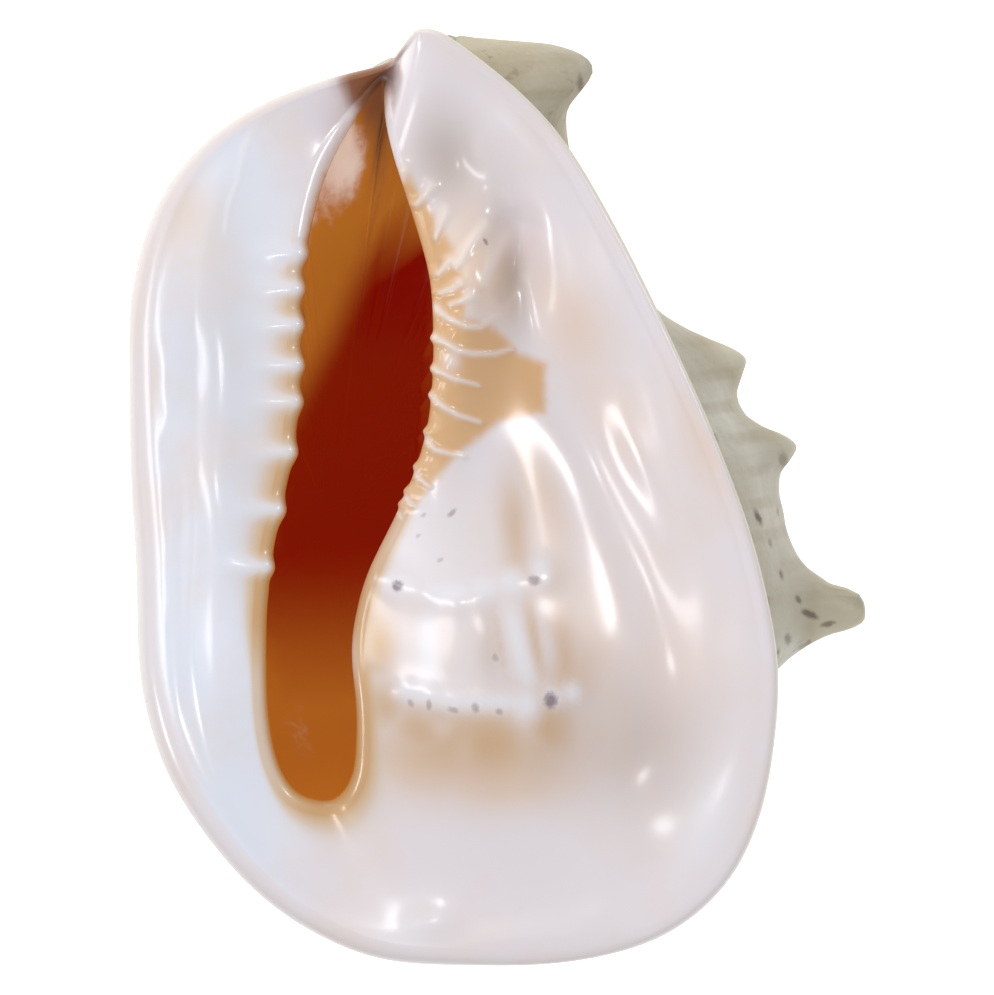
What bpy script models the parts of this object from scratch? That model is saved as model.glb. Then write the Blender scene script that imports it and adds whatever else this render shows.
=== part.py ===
"""Horned helmet shell, one solid, lying on its back on two shoulder horns and its canal.

The shell is drawn in its face frame, in millimetres: x to the right, y towards the
front (siphonal) end, z out of the mouth. One closed surface runs from a pole on the
back, over the body, round the rim of the lip and shield, across the face, over the
edge of the mouth and into the hollow. Its columns follow the stations round the rim,
and its rings are the curves from back to hollow. The last step turns it as it lies.
"""

import math

import bmesh
import bpy
import numpy as np

MM = 0.001

# Stations round the rim, counter-clockwise from the canal notch, seen from the front.
# Each has a point of the rim's outline and the matching point of the mouth's edge.
RIM = (
    (-28, 113.5), (-45, 109), (-67, 99.5), (-84, 84), (-93, 64), (-96.5, 40), (-96, 12),
    (-94, -16), (-93.5, -42), (-88.5, -66), (-74.5, -90), (-53, -110.5), (-24.5, -121.5),
    (8, -122), (39, -116.5), (62, -98), (71, -73), (73.5, -46), (68, -16), (57.5, 14),
    (44, 44), (30, 72), (14.5, 97), (-5, 114.5), (-18.5, 123), (-24.5, 117.5),
)
MOUTH = (
    (-29.5, 109), (-38, 97), (-45, 83), (-49, 67), (-50.5, 52), (-50.5, 35), (-51.5, 17),
    (-56, -6), (-60, -30), (-60, -50), (-57.5, -68), (-51, -77.5), (-43, -79),
    (-37, -70), (-36.5, -56), (-38, -40), (-35, -23), (-27, -6), (-21, 8),
    (-17.5, 22), (-16.5, 38), (-17, 54), (-21.5, 72), (-27, 89), (-29, 98), (-29.5, 104),
)
STATIONS = len(RIM)

# Values that change along the rim, as (station, value) pairs
RIM_HEIGHT = ((0, -20), (1, -15), (2, -12), (4, -10), (10, -10), (13, -8), (16, -6),
              (19, -4), (22, -1), (23.5, 2), (24.3, 1), (25.2, -8))
RIM_ROUND = ((0, 1.6), (2, 3), (5, 6), (8, 6.5), (11, 5), (14, 3.6), (17, 2), (20, 1.5),
             (25, 1.5))
MOUTH_HEIGHT = ((0, -25), (1, -20), (2, -14), (3, -9), (5, -6), (8, -6), (11, -9),
                (12, -11), (13, -8), (15, -5), (18, -5), (21, -5), (23, -5), (24, -7),
                (25, -15))
MOUTH_ROUND = ((0, 2), (2, 5), (5, 3.5), (8, 3.5), (12, 4), (15, 3), (20, 2.6), (24, 2))
NECK_DROP = ((0, 28), (2, 26), (5, 30), (9, 28), (13, 24), (17, 15), (20, 12), (22, 13),
             (24, 30))
COLUMN_DENSITY = ((1, 0.8), (3.5, 1.8), (7.5, 1.8), (9, 0.8), (13, 0.7), (16, 0.8),
                  (18, 2.2), (22, 1.8), (24, 0.9))

# Teeth of the lip and folds of the columella, by height of each on the mouth's edge
TEETH = (64, 54.5, 45, 34.5, 25, 12, -3, -18)
TOOTH_RISE, TOOTH_WIDTH, TOOTH_RUN = 1.8, 3.4, 12.0
FOLDS = (48.5, 42, 34, 27, 17, 8, 0)
FOLD_RISE, FOLD_WIDTH, FOLD_RUN, FOLD_SLOPE = 1.6, 2.4, 15.0, 0.45

# Hills (+) and hollows (-) of the face: centre, length and width, turn, height
FACE_FORMS = (
    ((-3, -42), (27, 38), 8, 11),
    ((-10, 42), (9, 38), -8, 8),
    ((-5, 57), (6, 10), 0, 3),
    ((6, 64), (6, 17), 8, -6),
    ((24, 8), (15, 48), 24, -9),
    ((38, -68), (26, 20), 20, -5),
    ((-9, 88), (8, 17), 20, -4),
    ((-74, -10), (13, 75), 0, 8),
)

# Coiling axis, through the middle of the body
AXIS_POINT = np.array((-2.0, -18.0, -63.0))
AXIS_SIDE_DEG = 4
AXIS_FORWARD_DEG = 3
BACK_POLE = np.array((0.0, -0.45, -0.9))

# Radius of the body along the axis, from the tip of the spire to the canal
BODY_PROFILE = ((-90, -10), (-79, 0), (-74, 13), (-66, 26), (-56, 40), (-44, 57),
                (-34, 70), (-24, 77), (-8, 79), (6, 77.5), (22, 73.5), (40, 64), (58, 51),
                (76, 41), (94, 34), (110, 28), (124, 25), (135, 19), (140.5, 0), (150, -10))
# Growth of the radius round the axis: 0 right, 90 back, 180 left, 270 front
GROWTH = ((-90, 0.86), (-45, 0.94), (0, 1.0), (90, 0.97), (180, 1.1), (220, 1.1),
          (245, 1.0))

# How far the body reaches further towards the spire, round the axis
SPIRE_SHIFT = ((-90, 0), (60, 0), (150, 9), (190, 16), (225, 18), (245, 16))

# Swelling of the body behind the front half of the lip: angle and place, and its size
LIP_SWELL = 17.0
LIP_SWELL_AT = (200, 84)
LIP_SWELL_SIZE = (50, 38)

# Rows of horns and knobs: place along the axis, lean towards the spire, and for each
# one its angle round the axis, length and base size
SHOULDER = (-15.8, 8, ((-6, 21.4, 4.6), (32, 22, 5.6), (70, 26, 6.2), (110, 26, 6.2),
                      (147, 17, 5.2), (178, 6, 4.5)))
SECOND = (26.7, 0, ((-6, 10.6, 3.9), (24, 9, 4.2), (56, 7, 4.4), (90, 5, 4.4), (124, 7, 4),
                    (162, 5, 3.6)))
THIRD = (50.5, 0, ((-2, 13.5, 6.1), (28, 7, 4.2), (58, 7, 4.2), (90, 6, 4.2), (122, 6, 3.6)))
SPIRE = (-50, 10, tuple((angle, 6 - angle / 80, 3.5) for angle in range(0, 211, 30)))
HORN_BLUNT = 1.15

# Recurved end of the canal, behind the tip of the shield: centre, push and size of each push
SPOUT = (((8, 111, -45), (20, 2.3, -2), 9.8), ((-2, 110, -90), (2, 3, -26), 22),
         ((-32, 112, -55), (4, -3, 0), 18))

# Hollow behind the mouth
HOLLOW_CENTRE = np.array((-43.5, -8.0, -64.0))
HOLLOW_END = np.array((0.0, 0.0, -1.0))
WALL = 6.0
CORE_RADIUS = 22.0

COLUMNS = 104
BACK_RINGS, NECK_RINGS, RIM_RINGS, FACE_RINGS, EDGE_RINGS, HOLLOW_RINGS = 20, 3, 3, 8, 2, 7
HOLLOW_CEILING = -13.0
HOLLOW_FRONT = 99.0

# How the shell lies: turned until two shoulder horns and the canal's end touch the floor
LIE_TIP_DEG = 23.5
LIE_ROLL_DEG = -0.8
FEET_WORN = 1.8


def hermite(knots, values, at):
    """Cubic curve through the knots that never overshoots, read at the places in at."""
    knots = np.asarray(knots, float)
    values = np.asarray(values, float)
    gaps = np.diff(knots)
    rises = np.diff(values) / gaps
    slopes = np.zeros_like(values)
    before = 2 * gaps[1:] + gaps[:-1]
    after = gaps[1:] + 2 * gaps[:-1]
    with np.errstate(divide="ignore", invalid="ignore"):
        mean = (before + after) / (before / rises[:-1] + after / rises[1:])
    slopes[1:-1] = np.where(rises[:-1] * rises[1:] > 0, mean, 0)
    slopes[0], slopes[-1] = rises[0], rises[-1]
    index = np.clip(np.searchsorted(knots, at, side="right") - 1, 0, len(gaps) - 1)
    gap = gaps[index]
    share = np.clip((at - knots[index]) / gap, 0, 1)
    square, cube = share**2, share**3
    return (
        (2 * cube - 3 * square + 1) * values[index]
        + (cube - 2 * square + share) * gap * slopes[index]
        + (3 * square - 2 * cube) * values[index + 1]
        + (cube - square) * gap * slopes[index + 1]
    )


def round_track(pairs, at, turn):
    """Value that comes round again after one turn, from (place, value) pairs."""
    places = np.array([place for place, _ in pairs], float)
    values = np.array([value for _, value in pairs], float)
    knots = np.concatenate([places - turn, places, places + turn])
    return hermite(knots, np.tile(values, 3), at)


def softened(values, spread):
    """Closed run of samples, averaged with a bell of this many samples."""
    reach = int(3 * spread)
    offsets = np.arange(-reach, reach + 1)
    bell = np.exp(-0.5 * (offsets / spread) ** 2)
    return sum(w * np.roll(values, k, axis=0) for w, k in zip(bell / bell.sum(), offsets))


def outline(points, station):
    """Closed smooth outline through the points, read at the given stations."""
    fine = np.linspace(0, STATIONS, 50 * STATIONS, endpoint=False)
    columns = [round_track(tuple(enumerate(run)), fine, STATIONS) for run in zip(*points)]
    curve = softened(np.stack(columns, axis=1), 12)
    curve = np.vstack([curve, curve[:1]])
    fine = np.append(fine, STATIONS)
    return np.stack([np.interp(station, fine, curve[:, k]) for k in range(2)], axis=1)


def column_stations(count):
    """Stations of the columns, closer together where the mouth has teeth and folds."""
    fine = np.linspace(0, STATIONS, 4001)
    density = round_track(COLUMN_DENSITY, fine, STATIONS)
    total = np.concatenate([[0], np.cumsum((density[1:] + density[:-1]) / 2)])
    return np.interp(np.arange(count) / count * total[-1], total, fine)


def unit(vectors):
    return vectors / np.linalg.norm(vectors, axis=-1, keepdims=True)


def smooth_step(share):
    share = np.clip(share, 0, 1)
    return share * share * (3 - 2 * share)


def inward_of(loop):
    """Unit directions into a closed outline that runs counter-clockwise."""
    ahead = np.roll(loop, -1, axis=0) - np.roll(loop, 1, axis=0)
    return unit(np.stack([-ahead[:, 1], ahead[:, 0]], axis=1))


def coil_axes():
    """Right, along and front directions of the coiling axis, as the rows of a matrix."""
    side, forward = math.radians(AXIS_SIDE_DEG), math.radians(AXIS_FORWARD_DEG)
    along = np.array((-math.sin(side) * math.cos(forward),
                      math.cos(side) * math.cos(forward), math.sin(forward)))
    front = unit(np.array((0.0, 0.0, 1.0)) - along[2] * along)
    return np.stack([np.cross(along, front), along, front])


def coil_place(points):
    """Radius, angle in degrees from -90 to 270, and place along the axis."""
    local = (points - AXIS_POINT) @ coil_axes().T
    radius = np.hypot(local[..., 0], local[..., 2])
    angle = np.degrees(np.arctan2(-local[..., 2], local[..., 0]))
    return radius, (angle + 90) % 360 - 90, local[..., 1]


def body_radius(angle, along):
    """Radius of the body: its profile along the axis, grown round the axis."""
    along = along + round_track(SPIRE_SHIFT, angle, 360) * smooth_step(-along / 40)
    grown = hermite(*zip(*BODY_PROFILE), along) * round_track(GROWTH, angle, 360)
    return grown + LIP_SWELL * mound(angle, along, LIP_SWELL_AT, LIP_SWELL_SIZE, 0)


def outside_body(points):
    """How far points lie outside the body, measured from its axis."""
    radius, angle, along = coil_place(points)
    return radius - body_radius(angle, along)


def outside_hollow(points):
    """How far points lie outside the hollow: in its wall, its core, or past its ceiling or front."""
    radius, angle, along = coil_place(points)
    wall = radius - (body_radius(angle, along) - WALL)
    core_radius = CORE_RADIUS * np.clip(1 - along / 150, 0.3, 1)
    beside = radius * np.cos(np.radians(angle)) + core_radius
    core = np.where(angle > 180, beside, np.where(angle < 0, beside, core_radius - radius))
    lid = np.maximum(points[..., 2] - HOLLOW_CEILING, points[..., 1] - HOLLOW_FRONT)
    return np.maximum(np.maximum(wall, core), lid)


def first_crossing(start, directions, outside, reach):
    """Where rays from start first leave the shape: even steps, then halving."""
    low = np.zeros(directions.shape[:-1])
    high = np.full(directions.shape[:-1], float(reach))
    found = np.zeros(directions.shape[:-1], bool)
    steps = np.linspace(0, reach, 120)
    for near, far in zip(steps[:-1], steps[1:]):
        left = (outside(start + directions * far) > 0) & ~found
        low, high = np.where(left, near, low), np.where(left, far, high)
        found |= left
    for _ in range(24):
        middle = (low + high) / 2
        left = outside(start + directions * middle[..., None]) > 0
        low, high = np.where(left, low, middle), np.where(left, middle, high)
    return start + directions * ((low + high) / 2)[..., None]


def fan(first, last, shares):
    """Unit directions that turn evenly from one to the other, one row for each share."""
    angle = np.arccos(np.clip((first * last).sum(axis=-1), -1, 1))[:, None]
    shares = shares[:, None, None]
    turned = np.sin((1 - shares) * angle) * first + np.sin(shares * angle) * last
    return turned / np.sin(angle)


def back_rings(rim, neck_height):
    """Rings from the pole on the back up the body to the neck behind the rim."""
    neck = np.column_stack([rim, neck_height]) - AXIS_POINT
    shares = np.arange(1, BACK_RINGS + 1) / BACK_RINGS
    directions = fan(np.broadcast_to(unit(BACK_POLE), neck.shape), unit(neck), shares)
    return first_crossing(AXIS_POINT, directions, outside_body, 175)


def horn_direction(angle, lean_deg):
    """Direction straight out of the axis, and the same leaning towards the spire."""
    right, along, front = coil_axes()
    turn, lean = math.radians(angle), math.radians(lean_deg)
    outward = math.cos(turn) * right - math.sin(turn) * front
    return outward, math.cos(lean) * outward - math.sin(lean) * along


def add_horns(rings, strength):
    """Raises rows of blunt cones, rounded at the tip and flaring at the foot."""
    moved = rings.copy()
    for place, lean_deg, horns in (SHOULDER, SECOND, THIRD, SPIRE):
        for angle, length, base in horns:
            outward, direction = horn_direction(angle, lean_deg)
            foot_radius = float(body_radius(np.array(angle), np.array(place)))
            foot = AXIS_POINT + foot_radius * outward + place * coil_axes()[1]
            gap = np.linalg.norm(rings - foot, axis=-1) / base
            height = length * np.exp(HORN_BLUNT - np.hypot(gap, HORN_BLUNT))
            moved += (height * strength)[..., None] * direction
    return moved


def add_spout(rings, strength):
    """Pushes the end of the canal out sideways and towards the back."""
    moved = rings.copy()
    for centre, push, size in SPOUT:
        gap = np.linalg.norm(rings - np.array(centre, float), axis=-1) / size
        moved += (np.exp(-(gap**2)) * strength)[..., None] * np.array(push, float)
    return moved


def neck_rings(neck, below, back_edge, flange):
    """Rings from the neck out to the back of the rim, as a cubic sweep.

    The sweep runs in flat under the rim, and less so where the flange is narrow.
    """
    share = (np.arange(1, NECK_RINGS + 1) / (NECK_RINGS + 1))[:, None, None]
    span = np.linalg.norm(back_edge - neck, axis=1, keepdims=True)
    rising = neck + 0.4 * span * unit(neck - below)
    inward = np.full_like(back_edge, -0.25)
    inward[:, :2] = unit(AXIS_POINT[:2] - back_edge[:, :2])
    arriving = back_edge + 0.35 * span * inward * np.clip(flange / 25, 0.05, 1)
    return ((1 - share) ** 3 * neck + 3 * (1 - share) ** 2 * share * rising
            + 3 * (1 - share) * share**2 * arriving + share**3 * back_edge)


def rim_rings(rim, height, size):
    """Half a round bead, from the back of the rim to the front."""
    turn = np.linspace(-math.pi / 2, math.pi / 2, RIM_RINGS)[:, None, None]
    plan = rim + inward_of(rim) * size * (1 - np.cos(turn))
    return np.concatenate([plan, height - size + size * np.sin(turn)], axis=2)


def mound(x, y, centre, size, turn_deg):
    """Bell-shaped mound of height 1 over an oval."""
    turn = math.radians(turn_deg)
    dx, dy = x - centre[0], y - centre[1]
    along = dx * math.cos(turn) + dy * math.sin(turn)
    across = dy * math.cos(turn) - dx * math.sin(turn)
    return np.exp(-((along / size[0]) ** 2) - (across / size[1]) ** 2)


def ridges(places, at, width):
    """Row of rounded ridges of height 1."""
    return sum(np.exp(-(((at - place) / width) ** 2)) for place in places)


def tooth_pattern(x, y, edge_x):
    """Teeth of the lip, running away from the mouth to the left and fading."""
    away = np.clip((edge_x - x) / TOOTH_RUN, 0, None)
    return TOOTH_RISE * ridges(TEETH, y, TOOTH_WIDTH) * np.exp(-(away**2)) * (x < -40)


def fold_pattern(x, y, edge_x):
    """Folds of the columella, running down to the right and fading."""
    away = np.clip(x - edge_x, 0, None)
    line = y + FOLD_SLOPE * away
    fade = smooth_step(2 - 2 * away / FOLD_RUN)
    return FOLD_RISE * ridges(FOLDS, line, FOLD_WIDTH) * fade * (edge_x > -40)


def face_rings(start, end):
    """Rings from the rim to the edge of the mouth, with the hills and hollows between."""
    share = (np.arange(1, FACE_RINGS + 1) / FACE_RINGS)[:, None, None]
    rings = start + (end - start) * share
    x, y = rings[..., 0], rings[..., 1]
    relief = sum(h * mound(x, y, at, size, turn) for at, size, turn, h in FACE_FORMS)
    span = np.linalg.norm(end - start, axis=1) / 40
    fade = smooth_step(3 * share[..., 0]) * np.clip(span, 0, 1)
    ribs = tooth_pattern(x, y, end[:, 0]) + fold_pattern(x, y, end[:, 0])
    rings[..., 2] += relief * fade + ribs * smooth_step(2 * share[..., 0] - 0.6)
    return rings


def edge_rings(last_face, inward, size):
    """Rings that roll from the face down over the edge of the mouth."""
    turn = (np.arange(1, EDGE_RINGS + 1) / EDGE_RINGS * math.radians(100))[:, None, None]
    plan = last_face[:, :2] + inward * size * np.sin(turn)
    return np.concatenate([plan, last_face[:, 2:] - size * (1 - np.cos(turn))], axis=2)


def hollow_rings(throat):
    """Rings of the hollow, by rays that fan out from its middle."""
    start = unit(throat - HOLLOW_CENTRE)
    shares = np.arange(1, HOLLOW_RINGS + 1) / (HOLLOW_RINGS + 1)
    directions = fan(start, np.broadcast_to(unit(HOLLOW_END), start.shape), shares)
    wall = first_crossing(HOLLOW_CENTRE, directions, outside_hollow, 175)
    reach = np.linalg.norm(wall - HOLLOW_CENTRE, axis=-1)
    throat_reach = np.linalg.norm(throat - HOLLOW_CENTRE, axis=-1)
    reach = throat_reach + (reach - throat_reach) * smooth_step(4 * shares)[:, None]
    return HOLLOW_CENTRE + directions * reach[..., None]


def shell_rings():
    """All rings of the surface, from the pole on the back to the end of the hollow."""
    station = column_stations(COLUMNS)
    rim, mouth = outline(RIM, station), outline(MOUTH, station)
    rim_height = round_track(RIM_HEIGHT, station, STATIONS)[:, None]
    rim_size = round_track(RIM_ROUND, station, STATIONS)[:, None]
    mouth_height = round_track(MOUTH_HEIGHT, station, STATIONS)[:, None]
    mouth_size = round_track(MOUTH_ROUND, station, STATIONS)[:, None]
    neck_drop = round_track(NECK_DROP, station, STATIONS)[:, None]

    back = back_rings(rim, rim_height - neck_drop)
    strength = smooth_step(7 - 7 * np.linspace(0, 1, BACK_RINGS))[:, None]
    back = add_spout(add_horns(back, strength), strength)
    edge = rim_rings(rim, rim_height, rim_size)
    flange = np.linalg.norm(rim - mouth, axis=1, keepdims=True)
    neck = neck_rings(back[-1], back[-2], edge[0], flange)

    inward = inward_of(mouth)
    face = face_rings(edge[-1], np.hstack([mouth - inward * mouth_size, mouth_height]))
    lip = edge_rings(face[-1], inward, mouth_size)
    return np.concatenate([back, neck, edge, face, lip, hollow_rings(lip[-1])])


def shell_faces(count, columns):
    """Quads between the rings and a fan of triangles at each pole."""
    ring, column = np.meshgrid(np.arange(count - 1), np.arange(columns), indexing="ij")
    after = (column + 1) % columns
    quads = np.stack([ring * columns + column, ring * columns + after,
                      (ring + 1) * columns + after, (ring + 1) * columns + column], axis=-1)
    run, after = np.arange(columns), (np.arange(columns) + 1) % columns
    first, base = count * columns, (count - 1) * columns
    near = np.stack([np.full(columns, first), after, run], axis=1)
    far = np.stack([np.full(columns, first + 1), base + run, base + after], axis=1)
    return quads.reshape(-1, 4).tolist() + near.tolist() + far.tolist()


def as_it_lies(points):
    """Face-frame points in millimetres, turned to lie on the back and moved to the origin."""
    tip, roll = math.radians(-LIE_TIP_DEG), math.radians(LIE_ROLL_DEG)
    tipped = np.array(((1, 0, 0), (0, math.cos(tip), -math.sin(tip)),
                       (0, math.sin(tip), math.cos(tip))))
    rolled = np.array(((math.cos(roll), 0, math.sin(roll)), (0, 1, 0),
                       (-math.sin(roll), 0, math.cos(roll))))
    turned = points @ (rolled @ tipped).T
    middle = (turned.min(axis=0) + turned.max(axis=0)) / 2
    middle[2] = turned[:, 2].min() + FEET_WORN
    return turned - middle


def wear_feet(mesh):
    """Cuts the feet off flat at the floor and closes each cut with one face."""
    work = bmesh.new()
    work.from_mesh(mesh)
    everything = work.verts[:] + work.edges[:] + work.faces[:]
    cut = bmesh.ops.bisect_plane(work, geom=everything, dist=1e-7, plane_co=(0, 0, 0),
                                 plane_no=(0, 0, -1), clear_outer=True)
    rims = [item for item in cut["geom_cut"] if isinstance(item, bmesh.types.BMEdge)]
    bmesh.ops.contextual_create(work, geom=rims)
    work.to_mesh(mesh)
    work.free()


def shell_material():
    material = bpy.data.materials.new("shell")
    material.use_nodes = True
    principled = material.node_tree.nodes["Principled BSDF"]
    principled.inputs["Base Color"].default_value = (0.78, 0.68, 0.62, 1.0)
    principled.inputs["Roughness"].default_value = 0.25
    principled.inputs["Metallic"].default_value = 0.0
    return material


def main():
    for old in list(bpy.data.objects):
        bpy.data.objects.remove(old)
    rings = shell_rings()
    poles = [rings[0].mean(axis=0), rings[-1].mean(axis=0)]
    points = np.vstack([rings.reshape(-1, 3), *poles])
    mesh = bpy.data.meshes.new("shell")
    points = as_it_lies(points) * MM
    mesh.from_pydata(points.tolist(), [], shell_faces(*rings.shape[:2]))
    wear_feet(mesh)
    mesh.shade_smooth()
    mesh.materials.append(shell_material())
    shell = bpy.data.objects.new("shell", mesh)
    bpy.context.scene.collection.objects.link(shell)


main()
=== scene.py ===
# %% [markdown]
# ## A horned helmet shell, seen into its mouth
#
# A helmet shell is one piece: the snail laid down a dull, horned outer wall, and over the
# mouth side it spread a thick glaze in white, pink and orange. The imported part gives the
# shell its size and place. This lesson draws the same surface again, finely enough for the
# teeth, wrinkles and knobs of the glaze, and then paints it. First the frame is loaded, and
# its box is kept so that the finished shell can be measured against it.

# %% The frame
import math

import bpy
import numpy as np
from mathutils import Matrix, Vector


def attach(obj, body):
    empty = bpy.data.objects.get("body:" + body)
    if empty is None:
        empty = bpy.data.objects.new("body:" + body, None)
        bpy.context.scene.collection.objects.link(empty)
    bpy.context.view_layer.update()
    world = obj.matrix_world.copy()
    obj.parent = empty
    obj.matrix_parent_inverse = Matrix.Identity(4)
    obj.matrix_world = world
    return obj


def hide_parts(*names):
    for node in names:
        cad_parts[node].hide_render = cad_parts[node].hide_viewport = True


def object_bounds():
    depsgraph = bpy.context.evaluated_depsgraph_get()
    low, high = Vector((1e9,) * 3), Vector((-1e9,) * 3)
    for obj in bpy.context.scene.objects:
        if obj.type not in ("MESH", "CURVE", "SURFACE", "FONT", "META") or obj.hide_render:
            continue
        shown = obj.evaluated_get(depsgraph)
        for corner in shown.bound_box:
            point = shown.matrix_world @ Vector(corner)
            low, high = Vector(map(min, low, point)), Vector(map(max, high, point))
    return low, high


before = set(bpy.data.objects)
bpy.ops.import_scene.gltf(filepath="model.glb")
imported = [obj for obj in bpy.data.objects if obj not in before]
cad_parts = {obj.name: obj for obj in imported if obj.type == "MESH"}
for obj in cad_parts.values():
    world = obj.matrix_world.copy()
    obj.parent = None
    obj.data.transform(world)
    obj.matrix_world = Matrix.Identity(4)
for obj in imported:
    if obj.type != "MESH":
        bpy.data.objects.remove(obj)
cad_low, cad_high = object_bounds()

MM = 0.001
print("CAD box in mm:", [round(v / MM, 1) for v in (*cad_low, *cad_high)])

# %% [markdown]
# ## Curves that never overshoot
#
# Every value of the shell changes smoothly along a line: the rim's height along the rim, or
# the body's radius along its axis. A spline through few points would do, but a common one
# swings past its points and dents the surface. The cubic below keeps its slope at zero on
# each peak, so it stays between its neighbours.

# %% Curves and waves
def hermite(knots, values, at):
    """Cubic through the knots; its slope is the weighted harmonic mean of both sides."""
    knots = np.asarray(knots, float)
    values = np.asarray(values, float)
    gaps = np.diff(knots)
    rises = np.diff(values) / gaps
    slopes = np.zeros_like(values)
    before = 2 * gaps[1:] + gaps[:-1]
    after = gaps[1:] + 2 * gaps[:-1]
    with np.errstate(divide="ignore", invalid="ignore"):
        mean = (before + after) / (before / rises[:-1] + after / rises[1:])
    slopes[1:-1] = np.where(rises[:-1] * rises[1:] > 0, mean, 0)
    slopes[0], slopes[-1] = rises[0], rises[-1]
    index = np.clip(np.searchsorted(knots, at, side="right") - 1, 0, len(gaps) - 1)
    gap = gaps[index]
    share = np.clip((at - knots[index]) / gap, 0, 1)
    square, cube = share**2, share**3
    return (
        (2 * cube - 3 * square + 1) * values[index]
        + (cube - 2 * square + share) * gap * slopes[index]
        + (3 * square - 2 * cube) * values[index + 1]
        + (cube - square) * gap * slopes[index + 1]
    )


def round_track(pairs, at, turn):
    """The same cubic on a line that closes: the pairs come again before and after."""
    places = np.array([place for place, _ in pairs], float)
    values = np.array([value for _, value in pairs], float)
    knots = np.concatenate([places - turn, places, places + turn])
    return hermite(knots, np.tile(values, 3), at)


def unit(vectors):
    """Each vector over its length."""
    return vectors / np.linalg.norm(vectors, axis=-1, keepdims=True)


def smooth_step(share):
    """3s^2 - 2s^3, held at 0 and 1 outside."""
    share = np.clip(share, 0, 1)
    return share * share * (3 - 2 * share)


def mound(x, y, centre, size, turn_deg=0):
    """exp(-u^2 - v^2), with u and v the turned distances from the centre over the size."""
    turn = math.radians(turn_deg)
    dx, dy = x - centre[0], y - centre[1]
    along = dx * math.cos(turn) + dy * math.sin(turn)
    across = dy * math.cos(turn) - dx * math.sin(turn)
    return np.exp(-((along / size[0]) ** 2) - (across / size[1]) ** 2)


def mounds(x, y, zones):
    """Sum of strength times mound over zones of (centre, size, turn, strength)."""
    return sum(strength * mound(x, y, *zone) for *zone, strength in zones)


def to_stretch(x, y, start, end):
    """Share of the way along a straight stretch, and the distance to the place there."""
    ahead = end - start
    share = ((x - start[0]) * ahead[0] + (y - start[1]) * ahead[1]) / (ahead @ ahead)
    share = np.clip(share, 0, 1)
    return share, np.hypot(x - start[0] - share * ahead[0], y - start[1] - share * ahead[1])


def stroke(x, y, points, width, taper=0.5):
    """exp(-(d / w)^2), with d the distance to a bent line and w its narrowing width."""
    points = np.array(points, float)
    lengths = np.linalg.norm(np.diff(points, axis=0), axis=1)
    travelled = np.concatenate([[0], np.cumsum(lengths)]) / lengths.sum()
    mark = np.zeros_like(x)
    for number, (start, end) in enumerate(zip(points[:-1], points[1:])):
        share, gap = to_stretch(x, y, start, end)
        place = travelled[number] + share * (travelled[number + 1] - travelled[number])
        mark = np.maximum(mark, np.exp(-((gap / (width * (1 - taper * place))) ** 2)))
    return mark


def ridges(places, at, width):
    """Sum of exp(-(distance / width)^2) over the places."""
    return sum(np.exp(-(((at - place) / width) ** 2)) for place in places)


def ripples(points, size, seed, waves=14):
    """Sum of plane waves of about this length, each with its own direction and start."""
    random = np.random.default_rng(seed)
    directions = unit(random.normal(size=(waves, points.shape[-1])))
    rates = 2 * math.pi / (size * random.uniform(0.7, 1.5, waves))
    starts = random.uniform(0, 2 * math.pi, waves)
    phases = points @ (directions * rates[:, None]).T + starts
    return np.sin(phases).sum(axis=-1) / math.sqrt(waves / 2)


print("a cubic between 0 and 1 stays within", hermite((0, 1, 2), (0, 1, 0), np.array([0.5, 1.5])))

# %% [markdown]
# ## Two outlines: the rim and the mouth
#
# Seen from the front, the shell is a ring of glaze between two closed lines, the rim and the
# edge of the mouth. Both are drawn in millimetres in the face frame: x to the right, y
# towards the canal, z out of the mouth. They share 26 stations, so a straight line can run
# from each point of the rim to its partner on the mouth. The heights are tracks along the
# same stations. These are the part's own numbers, so the looks fit the solid.

# %% Stations round the rim
RIM = (
    (-28, 113.5), (-45, 109), (-67, 99.5), (-84, 84), (-93, 64), (-96.5, 40), (-96, 12),
    (-94, -16), (-93.5, -42), (-88.5, -66), (-74.5, -90), (-53, -110.5), (-24.5, -121.5),
    (8, -122), (39, -116.5), (62, -98), (71, -73), (73.5, -46), (68, -16), (57.5, 14),
    (44, 44), (30, 72), (14.5, 97), (-5, 114.5), (-18.5, 123), (-24.5, 117.5),
)
MOUTH = (
    (-29.5, 109), (-38, 97), (-45, 83), (-49, 67), (-50.5, 52), (-50.5, 35), (-51.5, 17),
    (-56, -6), (-60, -30), (-60, -50), (-57.5, -68), (-51, -77.5), (-43, -79),
    (-37, -70), (-36.5, -56), (-38, -40), (-35, -23), (-27, -6), (-21, 8),
    (-17.5, 22), (-16.5, 38), (-17, 54), (-21.5, 72), (-27, 89), (-29, 98), (-29.5, 104),
)
STATIONS = len(RIM)
RIM_HEIGHT = ((0, -20), (1, -15), (2, -12), (4, -10), (10, -10), (13, -8), (16, -6),
              (19, -4), (22, -1), (23.5, 2), (24.3, 1), (25.2, -8))
RIM_ROUND = ((0, 1.6), (2, 3), (5, 6), (8, 6.5), (11, 5), (14, 3.6), (17, 2), (20, 1.5),
             (25, 1.5))
MOUTH_HEIGHT = ((0, -25), (1, -20), (2, -14), (3, -9), (5, -6), (8, -6), (11, -9),
                (12, -11), (13, -8), (15, -5), (18, -5), (21, -5), (23, -5), (24, -7),
                (25, -15))
MOUTH_ROUND = ((0, 2), (2, 5), (5, 3.5), (8, 3.5), (12, 4), (15, 3), (20, 2.6), (24, 2))
NECK_DROP = ((0, 28), (2, 26), (5, 30), (9, 28), (13, 24), (17, 15), (20, 12), (22, 13),
             (24, 30))
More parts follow.
